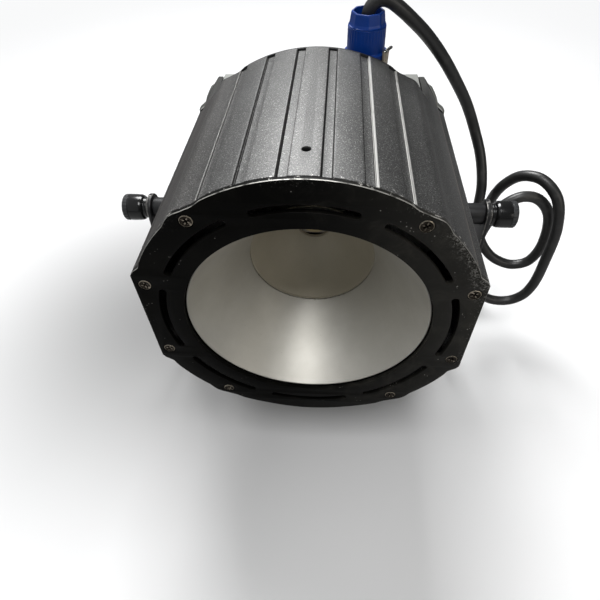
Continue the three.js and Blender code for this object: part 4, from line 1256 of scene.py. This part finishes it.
def end_grip(angle, radius, z):
    """Flutes round the plug's widest part, and rings on its neck."""
    if -156.5 < z < -147.5 and radius > 15:
        depth = smooth(-156.5, -155.6, z) * (1 - smooth(-148.4, -147.5, z))
        return radius - 0.7 * depth * groove(angle, 24) ** 1.6
    if -136 < z < -126.8 and 7 < radius < 11.5:
        return radius - 0.55 * groove(2 * pi * (z + 126) / 2.4, 1)
    return radius


def end_plug():
    profile = fillet([(0, -160), (14.5, -160), (16.5, -158), (16.5, -147), (15.4, -143),
                      (11.2, -136.2), (8.6, -131), (7.6, -126), (6.0, -126), (6.0, -131),
                      (0, -131)], 0.8)
    dense = []
    for (r0, z0), (r1, z1) in zip(profile, profile[1:]):
        steps = max(1, int(hypot(r1 - r0, z1 - z0) / 0.5))
        dense += [(r0 + (r1 - r0) * i / steps, z0 + (z1 - z0) * i / steps) for i in range(steps)]
    dense.append(profile[-1])
    return revolve(dense, 192, "Z", END_PLUG, edge=0, reshape=end_grip)


add_solid("mains_cable_jacket", cable(), "cable_rubber", "mains_cable", "cable_rubber",
          body="mains_lead", sharp=60)
add_solid("end_plug_body", end_plug(), "black_plastic", "cable_end_plug", "black_plastic",
          body="mains_lead", sharp=40)
pin = [(0, -171.5), (1.2, -171.3), (1.7, -170.4), (1.7, -159), (0, -159)]
pins = [revolve(pin, 28, "Z", (END_PLUG[0] + x, END_PLUG[1] + y, 0), edge=0.1)
        for x, y in ((-5.5, 3.5), (5.5, 3.5), (0, -6))]
add_solid("end_plug_pins", merge(pins), "steel", "cable_end_plug", "black_plastic",
          body="mains_lead")

# ------------------------------------------------------------------ yoke: one bent strip, round ends
ARM_X = -129.0           # centre plane of the left arm
CROSSBAR_Z = -171.5      # centre plane of the crossbar
BEND_R = 10.5
STRIP_HALF = 1.5         # half thickness
ARM_END_R = 11.0         # round end, and half width at the tilt axis
BAR_HALF = 15.0          # half width of the crossbar


def yoke_strip():
    bend = (ARM_X + BEND_R, CROSSBAR_Z + BEND_R)
    left = []            # ((x, z), outward normal, half width) down the left arm
    for a in (2, 6, 11, 17, 24, 32, 41, 51, 62, 74, 86):
        z = ARM_END_R * cos(radians(a))
        left.append(((ARM_X, z), (-1, 0), sqrt(ARM_END_R ** 2 - z * z)))
    for z in (0, -12, -25, -38, -50, -85, -120, bend[1]):
        half = ARM_END_R + (BAR_HALF - ARM_END_R) * min(1.0, -z / 50.0)
        left.append(((ARM_X, z), (-1, 0), half))
    for i in range(1, 12):
        a = 180 + 90 * i / 12
        left.append((polar(BEND_R, a, centre=bend), polar(1, a), BAR_HALF))
    for x in (bend[0], -60):
        left.append(((x, CROSSBAR_Z), (0, -1), BAR_HALF))
    middle = [((0, CROSSBAR_Z), (0, -1), BAR_HALF)]
    mirrored = [((-x, z), (-nx, nz), half) for (x, z), (nx, nz), half in reversed(left)]
    sections = []
    for (x, z), (nx, nz), half in left + middle + mirrored:
        section = rounded_rect((-half, half), (-STRIP_HALF, STRIP_HALF), min(0.7, half * 0.45), 5)
        sections.append([(x + nx * v, u, z + nz * v) for u, v in section])
    return loft(sections)


pivot_holes = [rod(4.4, start, start + 20, 48, "X") for start in (-140, 120)]
bar_holes = [rod(5.3, -190, -150, 48, "Z", (x, 0, 0)) for x in (25, -25)]
add_mesh("yoke_strap", carve(yoke_strip(), pivot_holes + bar_holes), "yoke_coat", "yoke",
         "yoke_paint", body="yoke", sharp=35)


# ------------------------------------------------------------------ tilt clamps
def cap_flutes(angle, radius, z):
    if radius > 9.6 and 147.3 < z < 150.8:
        return radius * (1 - 0.028 * groove(angle, 24))
    return radius


thread = [(0, 95), (3.4, 95)] + [(3.9 - 0.35 * (i % 2), 95.5 + 0.5 * i) for i in range(1, 98)]
thread += [(3.4, 145.2), (0, 145.2)]
knob = [(0, 145.6), (4.3, 145.6), (4.3, 132.7), (8.0, 132.7), (8.0, 134.9), (9.4, 136.0),
        (10.0, 137.6), (10.25, 141.5), (10.25, 146.2), (9.85, 146.5), (9.85, 147.1), (0, 147.1)]
knob_cap = [(0, 146.8), (9.8, 146.8), (10.25, 147.2), (10.25, 149.7), (9.9, 150.6), (8.9, 151.2),
            (7.4, 151.4), (6.9, 150.9), (0, 150.8)]
for side, axis in (("left", "-X"), ("right", "X")):
    spacer, washer = f"pivot_spacer_{side}", f"clamp_washer_{side}"
    stud, grip = f"clamp_stud_{side}", f"clamp_knob_{side}"
    add_solid(spacer + "_tube", tube(4.4, 8, 101.3, 127.2, 72, axis, edge=0.5), "dark_coat",
              spacer, "dark_metal")
    add_solid(washer + "_ring", tube(4.4, 8.6, 130.8, 132.3, 72, axis), "dark_steel", washer,
              "bright_metal", body=washer)
    add_solid(stud + "_thread", revolve(thread, 40, axis, edge=0), "steel", stud, "bright_metal",
              body=grip, sharp=25)
    add_solid(grip + "_grip", revolve(knob, 120, axis, edge=0.5), "knob_gloss", grip,
              "knob_plastic", body=grip, sharp=40)
    add_solid(grip + "_cap", revolve(knob_cap, 144, axis, edge=0.35, reshape=cap_flutes),
              "knob_cap", grip, "knob_plastic", body=grip, sharp=40)

# ------------------------------------------------------------------ CAD pieces kept as they are
for node, material in {"bulkhead": "mill_aluminium", "board_tray": "mill_aluminium",
                       "driver_board": "solder_green", "power_supply": "steel"}.items():
    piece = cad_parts[node]
    piece.data.materials.clear()
    piece.data.materials.append(MATERIALS[material])
    bevel = piece.modifiers.new("edges", "BEVEL")
    bevel.width = 0.0003
    bevel.segments = 2
    bevel.limit_method = "ANGLE"
    bevel.angle_limit = radians(40)


# ------------------------------------------------------------------ floor, world, lights, camera
def floor_paper():
    """Pale paper with a painted soft shadow under and to the left of the lamp, glowing into the
    backdrop far off;
    the camera sees it brighter than it lights the lamp."""
    mat = Material("floor_paper")
    seen = mat.source("ShaderNodeLightPath", "Is Camera Ray")
    drift = mat.noise(scale=3.0, detail=3.0).spread()
    paper = mat.mix(drift, (0.83, 0.835, 0.84), (0.86, 0.86, 0.865))
    x, y, _ = mat.split(mat.position)
    # painted soft shadow: the paper darkens towards a point under and to the left of the lamp
    near = ((x + 0.16) ** 2.0 + (y + -0.03) ** 2.0).sqrt()
    paper = mat.mix(near.fade(start=0.325, end=0.0, high=0.95), paper, (0.27, 0.27, 0.27))
    mat.surface(color=mat.mix(seen, (0.30, 0.30, 0.30), paper), roughness=0.85, metallic=0.0,
                Specular_IOR_Level=0.1)
    x, y, _ = mat.split(mat.position)
    away = (x * x + y * y).sqrt()
    glow = mat.node("ShaderNodeEmission")
    mat.put(glow.inputs["Color"], (0.955, 0.96, 0.965))
    blend = mat.node("ShaderNodeMixShader")
    mat.put(blend.inputs[0], seen * away.fade(start=0.35, end=1.5))
    mat.tree.links.new(mat.shader.outputs[0], blend.inputs[1])
    mat.tree.links.new(glow.outputs[0], blend.inputs[2])
    mat.tree.links.new(blend.outputs[0], mat.find("OUTPUT_MATERIAL").inputs["Surface"])


def add_floor(half=12, z=-0.002):
    mesh = bpy.data.meshes.new("floor")
    mesh.from_pydata([(-half, -half, z), (half, -half, z), (half, half, z), (-half, half, z)],
                     [], [(0, 1, 2, 3)])
    floor = bpy.data.objects.new("floor", mesh)
    bpy.context.scene.collection.objects.link(floor)
    mesh.materials.append(MATERIALS["floor_paper"])


def studio_world():
    """Lights the lamp more from -X; the camera sees an even pale backdrop."""
    world = bpy.data.worlds.new("studio")
    bpy.context.scene.world = world
    world.use_nodes = True
    graph = Graph(world.node_tree)
    x = graph.split(graph.source("ShaderNodeTexCoord", "Generated"))[0]
    side = x.fade(start=0.55, end=-0.75, low=0.10, high=0.40)
    seen = graph.source("ShaderNodeLightPath", "Is Camera Ray")
    shade = graph.mix(side, (0.0, 0.0, 0.0), (0.97, 0.99, 1.0))
    background = graph.find("BACKGROUND")
    graph.put(background.inputs["Color"], graph.mix(seen, shade, (0.96, 0.965, 0.97)))
    graph.put(background.inputs["Strength"], 1.0)


def softbox(name, place, aim, size, power, color=(1, 1, 1)):
    """A rectangular light; place and aim are metres from the tilt axis."""
    light = bpy.data.lights.new(name, "AREA")
    light.shape = "RECTANGLE"
    light.size, light.size_y = size
    light.energy = power
    light.color = color
    obj = bpy.data.objects.new(name, light)
    obj.location = Vector(place) + Vector((0, 0, LIFT))
    obj.rotation_mode = "QUATERNION"
    obj.rotation_quaternion = (Vector(aim) - Vector(place)).to_track_quat("-Z", "Y")
    bpy.context.scene.collection.objects.link(obj)


def add_camera():
    camera = bpy.data.cameras.new("camera")
    camera.sensor_width = 36.0
    camera.lens = 28.555
    camera.clip_start, camera.clip_end = 0.01, 60
    obj = bpy.data.objects.new("camera", camera)
    bpy.context.scene.collection.objects.link(obj)
    obj.matrix_world = Matrix(((0.99730384, -0.03223339, 0.06592472, 0.014673),
                               (0.06792768, 0.74540132, -0.66314607, -0.298481),
                               (-0.02776493, 0.66583623, 0.74558113, 0.230186 + LIFT),
                               (0, 0, 0, 1)))
    bpy.context.scene.camera = obj


floor_paper()
add_floor()
studio_world()
softbox("top_softbox", place=(0.05, -0.55, 1.25), aim=(0, -0.05, 0), size=(0.52, 0.52), power=7.8)
softbox("rear_softbox", place=(-0.20, 0.85, 1.28), aim=(0, 0, 0.08), size=(0.80, 0.75), power=29)
softbox("left_softbox", place=(-1.25, 0.05, 0.95), aim=(0, 0, 0), size=(0.8, 0.8), power=1.6,
        color=(1.0, 0.975, 0.95))
softbox("right_fill", place=(0.95, -0.85, 0.45), aim=(0, -0.05, 0), size=(0.6, 0.6), power=2.2,
        color=(1.0, 0.95, 0.87))
add_camera()
bpy.context.scene.view_settings.view_transform = "Standard"
bpy.context.view_layer.update()
